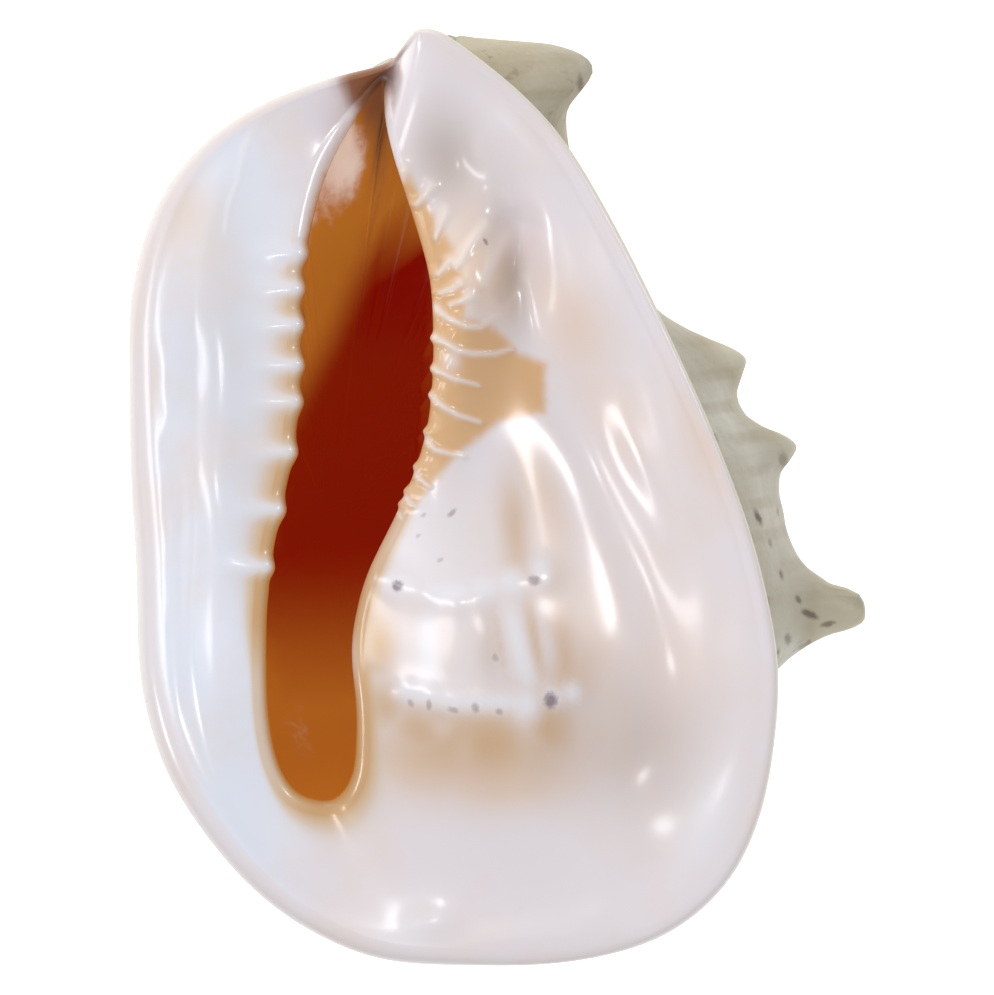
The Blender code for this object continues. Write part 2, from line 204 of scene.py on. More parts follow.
COLUMN_DENSITY = ((1, 0.8), (3.5, 1.7), (7.5, 1.7), (9, 0.8), (13, 1.0), (16, 1.2),
                  (18, 2.4), (22, 2.2), (24, 0.9))
COLUMNS = 470
# Fine samples to a station, the outlines' softening in such samples, and the samples of
# the density
FINE_STEPS = 50
OUTLINE_SPREAD = 12
DENSITY_SAMPLES = 4001


def softened(values, spread):
    """Closed run of samples, averaged with a bell of this many samples."""
    reach = int(3 * spread)
    offsets = np.arange(-reach, reach + 1)
    bell = np.exp(-0.5 * (offsets / spread) ** 2)
    return sum(w * np.roll(values, k, axis=0) for w, k in zip(bell / bell.sum(), offsets))


def outline(points, station):
    """Both coordinates as tracks along the stations, softened by a narrow bell."""
    fine = np.linspace(0, STATIONS, FINE_STEPS * STATIONS, endpoint=False)
    columns = [round_track(tuple(enumerate(run)), fine, STATIONS) for run in zip(*points)]
    curve = softened(np.stack(columns, axis=1), OUTLINE_SPREAD)
    curve = np.vstack([curve, curve[:1]])
    fine = np.append(fine, STATIONS)
    return np.stack([np.interp(station, fine, curve[:, k]) for k in range(2)], axis=1)


def column_stations(count):
    """Stations at even steps of the running total of the density."""
    fine = np.linspace(0, STATIONS, DENSITY_SAMPLES)
    density = round_track(COLUMN_DENSITY, fine, STATIONS)
    total = np.concatenate([[0], np.cumsum((density[1:] + density[:-1]) / 2)])
    return np.interp(np.arange(count) / count * total[-1], total, fine)


def inward_of(loop):
    """Unit directions into a closed outline that runs counter-clockwise."""
    ahead = np.roll(loop, -1, axis=0) - np.roll(loop, 1, axis=0)
    return unit(np.stack([-ahead[:, 1], ahead[:, 0]], axis=1))


station = column_stations(COLUMNS)
rim = outline(RIM, station)
mouth = outline(MOUTH, station)
print("rim, mm:", rim.min(axis=0).round(1), rim.max(axis=0).round(1))

# %% [markdown]
# ## The body behind the face
#
# The body is one and a bit turns of a coil. Round its axis its radius grows, and along the
# axis it follows a profile from the spire to the canal. A ray from a point on the axis
# leaves this body exactly once, so the wall is found by walking along the ray and then
# halving the last step. That gives whole rings at once, with no mesh to cut.

# %% The coiled body
AXIS_POINT = np.array((-2.0, -18.0, -63.0))
AXIS_SIDE_DEG = 4
AXIS_FORWARD_DEG = 3
BACK_POLE = np.array((0.0, -0.45, -0.9))
BODY_PROFILE = ((-90, -10), (-79, 0), (-74, 13), (-66, 26), (-56, 40), (-44, 57),
                (-34, 70), (-24, 77), (-8, 79), (6, 77.5), (22, 73.5), (40, 64), (58, 51),
                (76, 41), (94, 34), (110, 28), (124, 25), (135, 19), (140.5, 0), (150, -10))
GROWTH = ((-90, 0.86), (-45, 0.94), (0, 1.0), (90, 0.97), (180, 1.1), (220, 1.1),
          (245, 1.0))
SPIRE_SHIFT = ((-90, 0), (60, 0), (150, 9), (190, 16), (225, 18), (245, 16))
# Distance below the middle of the axis over which the shift sets in
SPIRE_SHIFT_EASE = 40
LIP_SWELL = 17.0
LIP_SWELL_AT = (200, 84)
LIP_SWELL_SIZE = (50, 38)
RAY_REACH = 175
RAY_SAMPLES = 120
RAY_HALVINGS = 20
BACK_RINGS = 66


def coil_axes():
    """Right, along and front directions of the coiling axis, as the rows of a matrix."""
    side, forward = math.radians(AXIS_SIDE_DEG), math.radians(AXIS_FORWARD_DEG)
    along = np.array((-math.sin(side) * math.cos(forward),
                      math.cos(side) * math.cos(forward), math.sin(forward)))
    front = unit(np.array((0.0, 0.0, 1.0)) - along[2] * along)
    return np.stack([np.cross(along, front), along, front])


def coil_place(points):
    """Radius, angle in degrees from -90 to 270, and place along the axis."""
    local = (points - AXIS_POINT) @ coil_axes().T
    radius = np.hypot(local[..., 0], local[..., 2])
    angle = np.degrees(np.arctan2(-local[..., 2], local[..., 0]))
    return radius, (angle + 90) % 360 - 90, local[..., 1]


def body_radius(angle, along):
    """Profile along the axis, times the growth round it, plus the swelling of the lip."""
    shift = round_track(SPIRE_SHIFT, angle, 360)
    along = along + shift * smooth_step(-along / SPIRE_SHIFT_EASE)
    grown = hermite(*zip(*BODY_PROFILE), along) * round_track(GROWTH, angle, 360)
    return grown + LIP_SWELL * mound(angle, along, LIP_SWELL_AT, LIP_SWELL_SIZE)


def outside_body(points):
    """Distance from the axis, less the radius of the body there."""
    radius, angle, along = coil_place(points)
    return radius - body_radius(angle, along)


def first_crossing(start, directions, outside):
    """Where rays from start first leave the shape: even steps, then halvings of the last."""
    low = np.zeros(directions.shape[:-1])
    high = np.full(directions.shape[:-1], float(RAY_REACH))
    found = np.zeros(directions.shape[:-1], bool)
    steps = np.linspace(0, RAY_REACH, RAY_SAMPLES)
    for near, far in zip(steps[:-1], steps[1:]):
        left = (outside(start + directions * far) > 0) & ~found
        low, high = np.where(left, near, low), np.where(left, far, high)
        found |= left
    for _ in range(RAY_HALVINGS):
        middle = (low + high) / 2
        left = outside(start + directions * middle[..., None]) > 0
        low, high = np.where(left, low, middle), np.where(left, middle, high)
    return start + directions * ((low + high) / 2)[..., None]


def fan(first, last, shares):
    """sin((1-s)a) first + sin(s a) last, over sin(a): an even turn from first to last."""
    angle = np.arccos(np.clip((first * last).sum(axis=-1), -1, 1))[:, None]
    shares = shares[:, None, None]
    turned = np.sin((1 - shares) * angle) * first + np.sin(shares * angle) * last
    return turned / np.sin(angle)


rim_height = round_track(RIM_HEIGHT, station, STATIONS)[:, None]
neck_height = rim_height - round_track(NECK_DROP, station, STATIONS)[:, None]
neck_start = np.column_stack([rim, neck_height]) - AXIS_POINT
back_shares = np.arange(1, BACK_RINGS + 1) / BACK_RINGS
back_rays = fan(np.broadcast_to(unit(BACK_POLE), neck_start.shape), unit(neck_start), back_shares)
back = first_crossing(AXIS_POINT, back_rays, outside_body)
print("back:", back.shape[:2], "rings and columns")

# %% [markdown]
# ## Horns, knobs and the canal's hook
#
# The back carries a row of long horns on its shoulder and smaller knobs in two rows behind
# it. Each is a bump that falls off as exp(-distance), rounded at its tip, and pushed along
# its own direction. Added up as whole arrays, they melt into the body like the real ones.
# The canal's end is pushed out sideways in the same way. Low spiral cords and worn, uneven
# growth keep the wall from looking turned on a lathe.

# %% Horns and hook
SHOULDER = (-15.8, 8, ((-6, 21.4, 4.6), (32, 22, 5.6), (70, 26, 6.2), (110, 26, 6.2),
                      (147, 17, 5.2), (178, 6, 4.5)))
SECOND = (26.7, 0, ((-6, 10.6, 3.9), (24, 9, 4.2), (56, 7, 4.4), (90, 5, 4.4), (124, 7, 4),
                    (162, 5, 3.6)))
THIRD = (50.5, 0, ((-2, 13.5, 6.1), (28, 7, 4.2), (58, 7, 4.2), (90, 6, 4.2), (122, 6, 3.6)))
SPIRE = (-50, 10, tuple((angle, 6 - angle / 80, 3.5) for angle in range(0, 211, 30)))
HORN_BLUNT = 1.15
# Pushes of the canal's end, and the trim of its corner: centre, push, size
SPOUT = (((8, 111, -45), (20, 2.3, -2), 9.8), ((-2, 110, -90), (2, 3, -26), 22),
         ((-32, 112, -55), (4, -3, 0), 18))
CANAL_TRIM = (((-36, 121, -52), (0, -6, 0), 10),)
# Fingertips of the three side knobs: centre in the face's plane, and radius
SIDE_KNOBS = (((58.6, 32.4), 5.6), ((71.6, 11.9), 5.2), ((90.4, -29.0), 5.2))
ROUNDING_POWER = 6
CORD_GAP = 8.5
CORD_RISE = 0.12
# Worn, uneven growth: rise, length and seed of its ripples, and the radius where it is full
WEAR = ((0.45, 26, 3), (0.135, 9, 4))
WEAR_FULL = 20
# The pushes fade over the last seventh of the back's rings. A point counts as horn from a
# move of 3 mm, and fully so 9 mm further.
BACK_FADE = 7
HORN_FROM, HORN_OVER = 3, 9


def horn_direction(angle, lean_deg):
    """Direction straight out of the axis, and the same leaning towards the spire."""
    right, along, front = coil_axes()
    turn, lean = math.radians(angle), math.radians(lean_deg)
    outward = math.cos(turn) * right - math.sin(turn) * front
    return outward, math.cos(lean) * outward - math.sin(lean) * along


def add_horns(rings, strength):
    """Each horn adds length * exp(b - sqrt(gap^2 + b^2)) along its own direction."""
    moved = rings.copy()
    for place, lean_deg, horns in (SHOULDER, SECOND, THIRD, SPIRE):
        for angle, length, base in horns:
            outward, direction = horn_direction(angle, lean_deg)
            foot_radius = float(body_radius(np.array(angle), np.array(place)))
            foot = AXIS_POINT + foot_radius * outward + place * coil_axes()[1]
            gap = np.linalg.norm(rings - foot, axis=-1) / base
            height = length * np.exp(HORN_BLUNT - np.hypot(gap, HORN_BLUNT))
            moved += (height * strength)[..., None] * direction
    return moved


def pushed(rings, pushes, strength):
    """Each push fades as exp(-(gap / size)^2) round its centre."""
    moved = rings.copy()
    for centre, push, size in pushes:
        gap = np.linalg.norm(rings - np.array(centre, float), axis=-1) / size
        moved += (np.exp(-(gap**2)) * strength)[..., None] * np.array(push, float)
    return moved


def rounded_knobs(rings):
    """Points near a knob's centre move out to (gap^6 + radius^6)^(1/6) from it."""
    moved = rings.copy()
    for (x, y), radius in SIDE_KNOBS:
        near = np.hypot(rings[..., 0] - x, rings[..., 1] - y) < 2 * radius
        depth = rings[near][rings[near][:, 0].argmax(), 2]
        away = rings - np.array((x, y, depth))
        gap = np.linalg.norm(away, axis=-1, keepdims=True)
        wanted = (gap**ROUNDING_POWER + radius**ROUNDING_POWER) ** (1 / ROUNDING_POWER)
        moved += away * (wanted / gap - 1)
    return moved


def outside_wear(rings, strength):
    """Moves the wall in and out: cosine cords along the axis, and two sizes of ripples."""
    radius, _, along = coil_place(rings)
    cords = CORD_RISE * np.cos(2 * math.pi * along / CORD_GAP)
    uneven = sum(rise * ripples(rings, length, seed) for rise, length, seed in WEAR)
    outward = (rings - AXIS_POINT) @ coil_axes().T
    outward[..., 1] = 0
    outward = unit(outward) @ coil_axes()
    fade = strength * smooth_step(radius / WEAR_FULL)
    return rings + ((cords + uneven) * fade)[..., None] * outward


back_fade = smooth_step(BACK_FADE - BACK_FADE * np.linspace(0, 1, BACK_RINGS))[:, None]
bare_body = pushed(back, SPOUT, back_fade)
back = pushed(add_horns(back, back_fade), SPOUT, back_fade)
horn_share = smooth_step((np.linalg.norm(back - bare_body, axis=-1) - HORN_FROM) / HORN_OVER)
back = rounded_knobs(pushed(back, CANAL_TRIM, 1))
bare_neck = back[-1], back[-2]
back = outside_wear(back, back_fade)
print("back reaches down to", back[..., 2].min().round(1), "mm behind the face")

# %% [markdown]
# ## Neck and rim
#
# Between the body and the rim the flange sweeps out. A cubic with two handles does it: it
# leaves the body in the body's own direction and runs in flat under the rim. The rim is
# half a round bead, thick on the lip and thin on the shield. Fine growth folds run along
# the underside, because the flange grew outwards in thin layers.

# %% Neck and rim
NECK_RINGS = 12
RIM_RINGS = 9
# Handles of the sweep as shares of its span, the drop of the far one's direction, and the
# width of flange from which that handle is full
NEAR_HANDLE, FAR_HANDLE = 0.4, 0.35
FAR_DROP = 0.25
FULL_FLANGE = 25
GROWTH_FOLDS = 0.35
GROWTH_FOLD_RATE = 40
FOLDED_FLANGE = 60


def neck_rings(neck, below, back_edge, flange):
    """Cubic sweep: (1-s)^3 neck + 3(1-s)^2 s rising + 3(1-s) s^2 arriving + s^3 edge."""
    share = (np.arange(1, NECK_RINGS + 1) / (NECK_RINGS + 1))[:, None, None]
    span = np.linalg.norm(back_edge - neck, axis=1, keepdims=True)
    rising = neck + NEAR_HANDLE * span * unit(neck - below)
    inward = np.full_like(back_edge, -FAR_DROP)
    inward[:, :2] = unit(AXIS_POINT[:2] - back_edge[:, :2])
    handle = FAR_HANDLE * span * np.clip(flange / FULL_FLANGE, 0.05, 1)
    arriving = back_edge + handle * inward
    swept = ((1 - share) ** 3 * neck + 3 * (1 - share) ** 2 * share * rising
             + 3 * (1 - share) * share**2 * arriving + share**3 * back_edge)
    folds = np.sin(share * GROWTH_FOLD_RATE) * np.sin(share * math.pi) * GROWTH_FOLDS
    swept[..., 2] += folds[..., 0] * np.clip(flange[:, 0] / FOLDED_FLANGE, 0, 1)
    return swept


def rim_rings(rim, height, size):
    """Half a circle of this size, turned from the back of the rim to the front."""
    turn = np.linspace(-math.pi / 2, math.pi / 2, RIM_RINGS)[:, None, None]
    plan = rim + inward_of(rim) * size * (1 - np.cos(turn))
    return np.concatenate([plan, height - size + size * np.sin(turn)], axis=2)


rim_size = round_track(RIM_ROUND, station, STATIONS)[:, None]
edge = rim_rings(rim, rim_height, rim_size)
flange = np.linalg.norm(rim - mouth, axis=1, keepdims=True)
neck = neck_rings(bare_neck[0], bare_neck[1], edge[0], flange)
print("rim bead, mm:", rim_size.min().round(1), "to", rim_size.max().round(1))

# %% [markdown]
# ## The face: bulge, teeth and wrinkles
#
# The face is a sheet from the rim to the mouth. Its height is a sum of simple marks, each a
# bell over an oval or along a bent line: the earlier turn of the shell bulging through the
# glaze, teeth on the lip, thin white ridges on the columella, and the wrinkled pad above
# them. The marks are kept as lists, because the colours follow the same lines later.

# %% Marks of the face
# Large forms: centre, size, turn, height
FACE_FORMS = (
    ((-3, -42), (27, 38), 8, 11),
    ((-10, 42), (9, 38), -8, 8),
    ((-5, 57), (6, 10), 0, 3),
    ((6, 64), (6, 17), 8, -6),
    ((24, 8), (15, 48), 24, -9),
    ((38, -68), (26, 20), 20, -5),
    ((-9, 88), (8, 17), 20, -4),
    ((-74, -10), (13, 75), 0, 8),
)
TEETH = (64, 54.5, 45, 34.5, 25, 12, -3, -18)
TOOTH_RISE, TOOTH_WIDTH, TOOTH_RUN, TOOTH_REACH = 1.15, 2.9, 7.0, 1.4
TOOTH_ROW, TOOTH_ROW_EASE, TOOTH_SIDE = (-24, 69), 5, -40
TOOTH_LEVEL = 0.45
FOLDS = (41.5, 33.5, 26.5, 16.8, 7.4, 0.9, -2.7)
FOLD_WIDTH, FOLD_REACH, FOLDS_FROM = 1.2, 0.9, -6
# Sides of the mouth on which the teeth and the folds move its edge, and how far in they do
LEFT_SIDE, RIGHT_SIDE, SIDE_EASE = -38, -32, 4
EDGE_REACH = 5
# Thin white ridges of the columella: points, width, rise
RIDGE_LINES = (
    (((-16.4, 41.7), (-13.5, 40.2), (-10.1, 38.1), (-6.4, 37.3), (-0.5, 37.4), (3.6, 38.6)),
     1.15, 0.9),
    (((-16.4, 33.4), (-11.2, 30.8), (-4.9, 29.2)), 1.0, 0.7),
    (((-17.4, 26.4), (-14.0, 23.5), (-9.8, 21.2), (-4.4, 19.6)), 1.15, 0.9),
    (((-19.8, 16.8), (-16.1, 12.3), (-8.3, 10.5)), 1.1, 0.7),
    (((-22.1, 7.4), (-19.8, 4.5), (-17.4, 2.7)), 1.0, 0.6),
    (((-24.7, 0.9), (-22.6, -1.2), (-21.1, -2.2)), 0.9, 0.4),
    (((-26.8, -2.7), (-25.0, -5.1)), 0.9, 0.3),
)
# Slanting wrinkles of the pad above the ridges
WRINKLE_LINES = (
    (((-23.9, 85.2), (-25.0, 82.3)), 1.5, 0.7),
    (((-16.6, 81.2), (-18.7, 78.7), (-20.8, 76.3)), 1.6, 1.1),
    (((-13.3, 74.5), (-14.6, 71.6), (-16.1, 67.5)), 1.9, 1.3),
    (((-2.9, 70.3), (-7.0, 65.4), (-10.7, 59.9)), 2.0, 1.2),
    (((-12.2, 61.5), (-13.5, 60.2), (-15.3, 58.1)), 1.5, 1.0),
    (((-9.6, 55.8), (-11.7, 54.2), (-14.6, 53.2)), 1.4, 0.9),
    (((-6.2, 52.4), (-9.1, 51.1), (-12.2, 50.1)), 1.3, 0.7),
    (((-16.0, 49.5), (-13.0, 46.7), (-7.8, 44.3), (-4.4, 44.3), (-0.5, 47.2)), 1.2, 0.9),
    (((2.0, 68.0), (-1.5, 61.0), (-3.5, 55.5)), 2.2, 0.7),
)
# Low swellings that catch the light: centre, size, turn, height
SWELLINGS = (((68, -84), (10, 20), -20, 3.6), ((-16, -112), (7, 7), 0, 1.4),
             ((26, -112), (4, 5), 0, 0.9), ((36, 12), (4, 13), 22, 1.2))
WRINKLE_GAPS = (((-21.6, 78.7), (-19.0, 70.1), (-15.9, 61.2)), 2.4, -0.8)
PAD_HOLLOW = (((6.0, 70.9), (3.9, 61.2), (0.8, 52.6)), 4.0, -2.6)
UPPER_BEADS = ((-32.5, -19.4), (-25.7, -22.8), (-18.2, -25.1), (-10.4, -26.7), (-3.6, -24.3),
               (4.2, -22.2), (12.5, -20.2))
LOWER_BEADS = ((-23.9, -50.1), (-17.4, -51.9), (-10.4, -52.9), (-4.4, -53.2), (1.3, -53.2),
               (8.1, -52.6), (14.3, -52.1), (19.5, -50.8))
BEAD_ROW_WIDTH, BEAD_ROW_RISE = 4.2, 0.5
BEAD_SIZE, BEAD_RISE = 2.8, 0.3
LAYER_EDGE = (((-61.1, 100.8), (-63.2, 98.2), (-65.8, 90.4), (-67.3, 82.5), (-69.7, 76.0),
               (-70.5, 69.5)), 1.3, 0.25)
# Ripples: rise, length, seed; those of the lip lie beyond a line and are drawn out along y
SLOW_RIPPLES = (0.3, 42, 12)
LIP_RIPPLES = (0.16, 8, 11)
LIP_STRETCH, LIP_FROM, LIP_EASE = 0.45, -76, 12

# %% [markdown]
# The sheet's rings sit closer together near the rim and near the mouth, where the detail
# is. A groove just inside the rim makes the double bead that the shield shows, and slow
# ripples break up the highlights of the lip, as on a real glaze.

# %% The face and the edge of the mouth
FACE_RINGS = 92
EDGE_RINGS = 8
EDGE_TURN_DEG = 100
RIM_GROOVE_AT, RIM_GROOVE_WIDTH, RIM_GROOVE_DEPTH = 2.4, 1.0, 0.16
GROOVE_ALONG = ((0, 0), (16, 0), (18, 0.5), (20, 1), (22, 1), (24, 0))
# How far the rings crowd at both ends, how fast forms and marks set in behind the rim, and
# the width of the sheet from which the forms are full
RING_CROWDING = 0.5
FORM_RATE, MARK_RATE = 3, 5
FULL_SHEET = 40


def line_marks(x, y, lines):
    """Sum of rise times stroke over lines of (points, width, rise)."""
    return sum(rise * stroke(x, y, points, width) for points, width, rise in lines)


def tooth_row(y):
    """1 along the toothed stretch of the lip, 0 beyond it."""
    first, last = TOOTH_ROW
    return (smooth_step((y - first) / TOOTH_ROW_EASE)
            * smooth_step((last - y) / TOOTH_ROW_EASE))


def teeth_marks(x, y, edge_x):
    """Tooth ridges that run to the left from the mouth and fade as exp(-(away / run)^2)."""
    away = np.clip((edge_x - x) / TOOTH_RUN, 0, None)
    return ridges(TEETH, y, TOOTH_WIDTH) * np.exp(-(away**2)) * (x < TOOTH_SIDE)


def face_height(x, y, edge_x):
    """All marks of the face that show as relief, in millimetres."""
    points = np.stack([x, y], axis=-1)
    lines = RIDGE_LINES + WRINKLE_LINES + (WRINKLE_GAPS, PAD_HOLLOW, LAYER_EDGE)
    rows = sum(stroke(x, y, row, BEAD_ROW_WIDTH, 0) for row in (UPPER_BEADS, LOWER_BEADS))
    beads = sum(mound(x, y, at, (BEAD_SIZE, BEAD_SIZE)) for at in UPPER_BEADS + LOWER_BEADS)
    rise, length, seed = LIP_RIPPLES
    waves = rise * ripples(points * (1, LIP_STRETCH), length, seed)
    waves *= smooth_step((LIP_FROM - x) / LIP_EASE)
    rise, length, seed = SLOW_RIPPLES
    slow = rise * ripples(points, length, seed)
    return (TOOTH_RISE * teeth_marks(x, y, edge_x) + line_marks(x, y, lines)
            + mounds(x, y, SWELLINGS) + BEAD_ROW_RISE * rows + BEAD_RISE * beads + waves + slow)


def face_rings(start, end):
    """Straight sheet from rim to mouth, plus the forms and marks as height."""
    even = np.arange(1, FACE_RINGS + 1) / FACE_RINGS
    share = even - RING_CROWDING * np.sin(2 * math.pi * even) / (2 * math.pi)
    rings = start + (end - start) * share[:, None, None]
    x, y, share = rings[..., 0], rings[..., 1], share[:, None]
    span = np.linalg.norm(end - start, axis=1)
    fade = smooth_step(FORM_RATE * share) * np.clip(span / FULL_SHEET, 0, 1)
    near_mouth = np.exp(-(((1 - share) * span / EDGE_REACH) ** 2))
    from_rim = share * span
    groove = RIM_GROOVE_DEPTH * np.exp(-(((from_rim - RIM_GROOVE_AT) / RIM_GROOVE_WIDTH) ** 2))
    groove *= round_track(GROOVE_ALONG, station, STATIONS)
    marks = face_height(x, y, end[:, 0]) * smooth_step(MARK_RATE * share)
    rings[..., 2] += mounds(x, y, FACE_FORMS) * fade + marks - groove
    left = smooth_step((LEFT_SIDE - x) / SIDE_EASE)
    tips = (ridges(TEETH, y, TOOTH_WIDTH) - TOOTH_LEVEL) * tooth_row(y) * left
    right = smooth_step((x - RIGHT_SIDE) / SIDE_EASE) * smooth_step((y - FOLDS_FROM) / SIDE_EASE)
    nubs = ridges(FOLDS, y, FOLD_WIDTH) * right
    rings[..., 0] += (TOOTH_REACH * tips - FOLD_REACH * nubs) * near_mouth
    return rings


def edge_rings(last_face, inward, size):
    """Roll over the edge: size * sin(turn) inwards and size * (1 - cos(turn)) down."""
    turn = np.arange(1, EDGE_RINGS + 1) / EDGE_RINGS * math.radians(EDGE_TURN_DEG)
    turn = turn[:, None, None]
    plan = last_face[:, :2] + inward * size * np.sin(turn)
    return np.concatenate([plan, last_face[:, 2:] - size * (1 - np.cos(turn))], axis=2)


mouth_height = round_track(MOUTH_HEIGHT, station, STATIONS)[:, None]
mouth_size = round_track(MOUTH_ROUND, station, STATIONS)[:, None]
inward = inward_of(mouth)
face_end = np.hstack([mouth - inward * mouth_size, mouth_height])
face = face_rings(edge[-1], face_end)
lip = edge_rings(face[-1], inward, mouth_size)
print("face height, mm:", face[..., 2].min().round(1), "to", face[..., 2].max().round(1))

# %% [markdown]
# ## The hollow
#
# Behind the mouth the shell is open round its core. The hollow is found like the body, with
# rays from one point inside it: they fan out from the throat and end straight down, and
# stop 6 mm inside the outer wall, at the core, under the ceiling, or short of the canal's tip.

# %% The hollow
HOLLOW_CENTRE = np.array((-43.5, -8.0, -64.0))
HOLLOW_END = np.array((0.0, 0.0, -1.0))
WALL = 6.0
CORE_RADIUS = 22.0
CORE_TAPER = 150
CORE_LEAST = 0.3
HOLLOW_CEILING = -13.0
HOLLOW_FRONT = 99.0
HOLLOW_RINGS = 22
# Softening of the reach round the rings, in columns, and how fast it eases in
HOLLOW_SPREAD = 4
HOLLOW_RATE = 4


def outside_hollow(points):
    """Greatest distance into the wall, into the core, above the ceiling or past the front."""
    radius, angle, along = coil_place(points)
    wall = radius - (body_radius(angle, along) - WALL)
    core_radius = CORE_RADIUS * np.clip(1 - along / CORE_TAPER, CORE_LEAST, 1)
    beside = radius * np.cos(np.radians(angle)) + core_radius
    core = np.where(angle > 180, beside, np.where(angle < 0, beside, core_radius - radius))
    lid = np.maximum(points[..., 2] - HOLLOW_CEILING, points[..., 1] - HOLLOW_FRONT)
    return np.maximum(np.maximum(wall, core), lid)


def hollow_rings(throat):
    """Rays from the throat's direction to straight down; the softened reach eases in."""
    start = unit(throat - HOLLOW_CENTRE)
    shares = np.arange(1, HOLLOW_RINGS + 1) / (HOLLOW_RINGS + 1)
    directions = fan(start, np.broadcast_to(unit(HOLLOW_END), start.shape), shares)
    wall = first_crossing(HOLLOW_CENTRE, directions, outside_hollow)
    reach = np.linalg.norm(wall - HOLLOW_CENTRE, axis=-1)
    throat_reach = np.linalg.norm(throat - HOLLOW_CENTRE, axis=-1)
    reach = softened(reach.T, HOLLOW_SPREAD).T
    eased = smooth_step(HOLLOW_RATE * shares)[:, None]
    reach = throat_reach + (reach - throat_reach) * eased
    return HOLLOW_CENTRE + directions * reach[..., None]


hollow = hollow_rings(lip[-1])
rings = np.concatenate([back, neck, edge, face, lip, hollow])
print("whole surface:", rings.shape[0], "rings of", rings.shape[1], "points")

# %% [markdown]
# ## Where each colour lies
#
# The glaze's colours follow the marks of the face, so they are worked out from the same
# lines, one mask from 0 to 1 for each colour layer at each point; some layers are painted
# shade and painted highlights. A mask is a plain number on the mesh: the material turns it
# into colour later and breaks its edge up with noise. A painted picture would do the same
# job, but it would not sharpen when the shape changes.

# %% Masks of the colours, painted shade and highlights among them
WARM_WIDTH = ((0, 1.5), (1, 1.5), (2, 2), (3, 2.5), (4, 4.5), (7, 5), (8, 2.5), (9, 1.2),
              (10, 1.4), (11, 4), (12, 5.5), (14, 3), (16, 2), (17, 1.5), (22, 1), (24, 1))
WARM_STRENGTH = ((0, 0), (2, 0.1), (3, 0.25), (4, 0.8), (8, 1), (9, 0.5), (10, 0.5),
                 (11.5, 1), (20, 1), (21.5, 0.7), (22.5, 0.1), (25, 0))
# Share of the way down the mouth's edge and the hollow at which the orange starts
MOUTH_START = ((0, 0.08), (2, 0.02), (11, 0.02), (14, 0.08), (17, 0.2), (21, 0.22), (25, 0.22))
# Orange of the columella, as a closed line from its right corner round to the diagonal
ORANGE_LOOP = ((12.7, 22.2), (12.7, 35), (5.5, 37.8), (1.6, 42.2), (-1.8, 44.8), (-8.3, 46.7),
               (-8.5, 56), (-12, 66), (-18, 76), (-24.2, 86), (-27, 77.4), (-20, 59),
               (-20, 43), (-21.5, 25), (-26, 9.8), (-30, -0.7), (-27.5, -5.9), (-21.3, -2),
               (-10.9, 10.5), (0.8, 19.6))
# Blots of the bulge: centre, size, turn, strength
TAN_BLOTS = (((-31, -37.8), (5.5, 10), 0, 1.0), ((-29, -54), (6.5, 8), 20, 0.8),
             ((-17.4, -60.5), (12, 8), -15, 0.95), ((-4.4, -64.4), (14, 10), 0, 1.0),
             ((12.5, -59.2), (9, 12), 30, 0.9), ((16.4, -42.3), (5, 17), 5, 0.8),
             ((4.7, -8.5), (4.5, 14), 5, 0.75), ((10, -37), (2.4, 13), 10, 0.8),
             ((0.8, -38.4), (1.0, 11), 9, 0.5), ((20, -47), (6, 10), 0, 0.5),
             ((8.5, 6), (4.5, 13), 12, 0.45), ((-8, -38), (22, 12), 0, 0.3),
             ((-4, -64), (27, 12), 0, 0.95), ((-6, -12), (14, 9), 0, 0.15))
CREAM_BLOTS = (((-8.3, -65.6), (4, 4.5), 0, 0.2), ((7.5, -60.7), (3, 8), 0, 0.25),
               ((13.5, -38.9), (2.6, 8), 12, 0.7), ((10.7, -11.3), (3, 7), 10, 0.6),
               ((-14.5, -60), (3, 3), 0, 0.35))
# Pale blots of the bulge; the last two, near the lower right rim and at the bottom, are painted
# highlights
PALE_AND_HIGHLIGHT_BLOTS = (((-18, -39.7), (3.4, 13), 0, 0.75), ((5.5, -38.4), (2.3, 13), 14, 0.95),
              ((-25.5, -22.2), (5, 2.8), 0, 0.9), ((-13, -25.1), (8, 3.2), 0, 0.95),
              ((-3.4, -23.5), (4, 3.4), 0, 0.9), ((3.6, -22.2), (4, 4), 0, 0.95),
              ((11.4, -18.6), (2.8, 4), 0, 0.95), ((7.5, -53.7), (4, 4.2), 0, 0.95),
              ((-38.7, -42.3), (1.8, 9), 0, 0.8), ((-14.8, -13.7), (15, 13), 0, 0.45),
              ((-11.8, 35.5), (2.4, 3), 0, 0.6), ((-9, -38), (5, 12), 0, 0.3),
              ((56, -84), (7, 14), -25, 0.8), ((-24, -113), (10, 5), 0, 0.6))
GREY_BLOTS = (((-2.5, -38), (3, 11), 6, 0.35),)
RED_LOOP = ((-14, 73), (-24, 70), (-33, 65), (-38, 55), (-43, 43), (-50, 30), (-58, 16), (-64, -6),
            (-66, -34), (-56, -52), (-34, -50), (-30, -26), (-16, -6), (-8, 20), (-8, 44))
# White of the lip that runs on into the mouth, and the brown of the notch beside the tip, darkened
# as painted shade in the canal's recess
VEIL_LOOP = ((-50, 112), (-41, 109), (-39, 103), (-37, 95.5), (-35, 85), (-40, 84), (-45, 84),
             (-48, 76), (-51, 68), (-54, 62), (-57, 74), (-57, 104))
NOTCH_LOOP = ((-41.5, 109), (-37.5, 114), (-25, 119), (-28, 109), (-29, 96), (-31, 84),
              (-35, 100), (-38.5, 103))
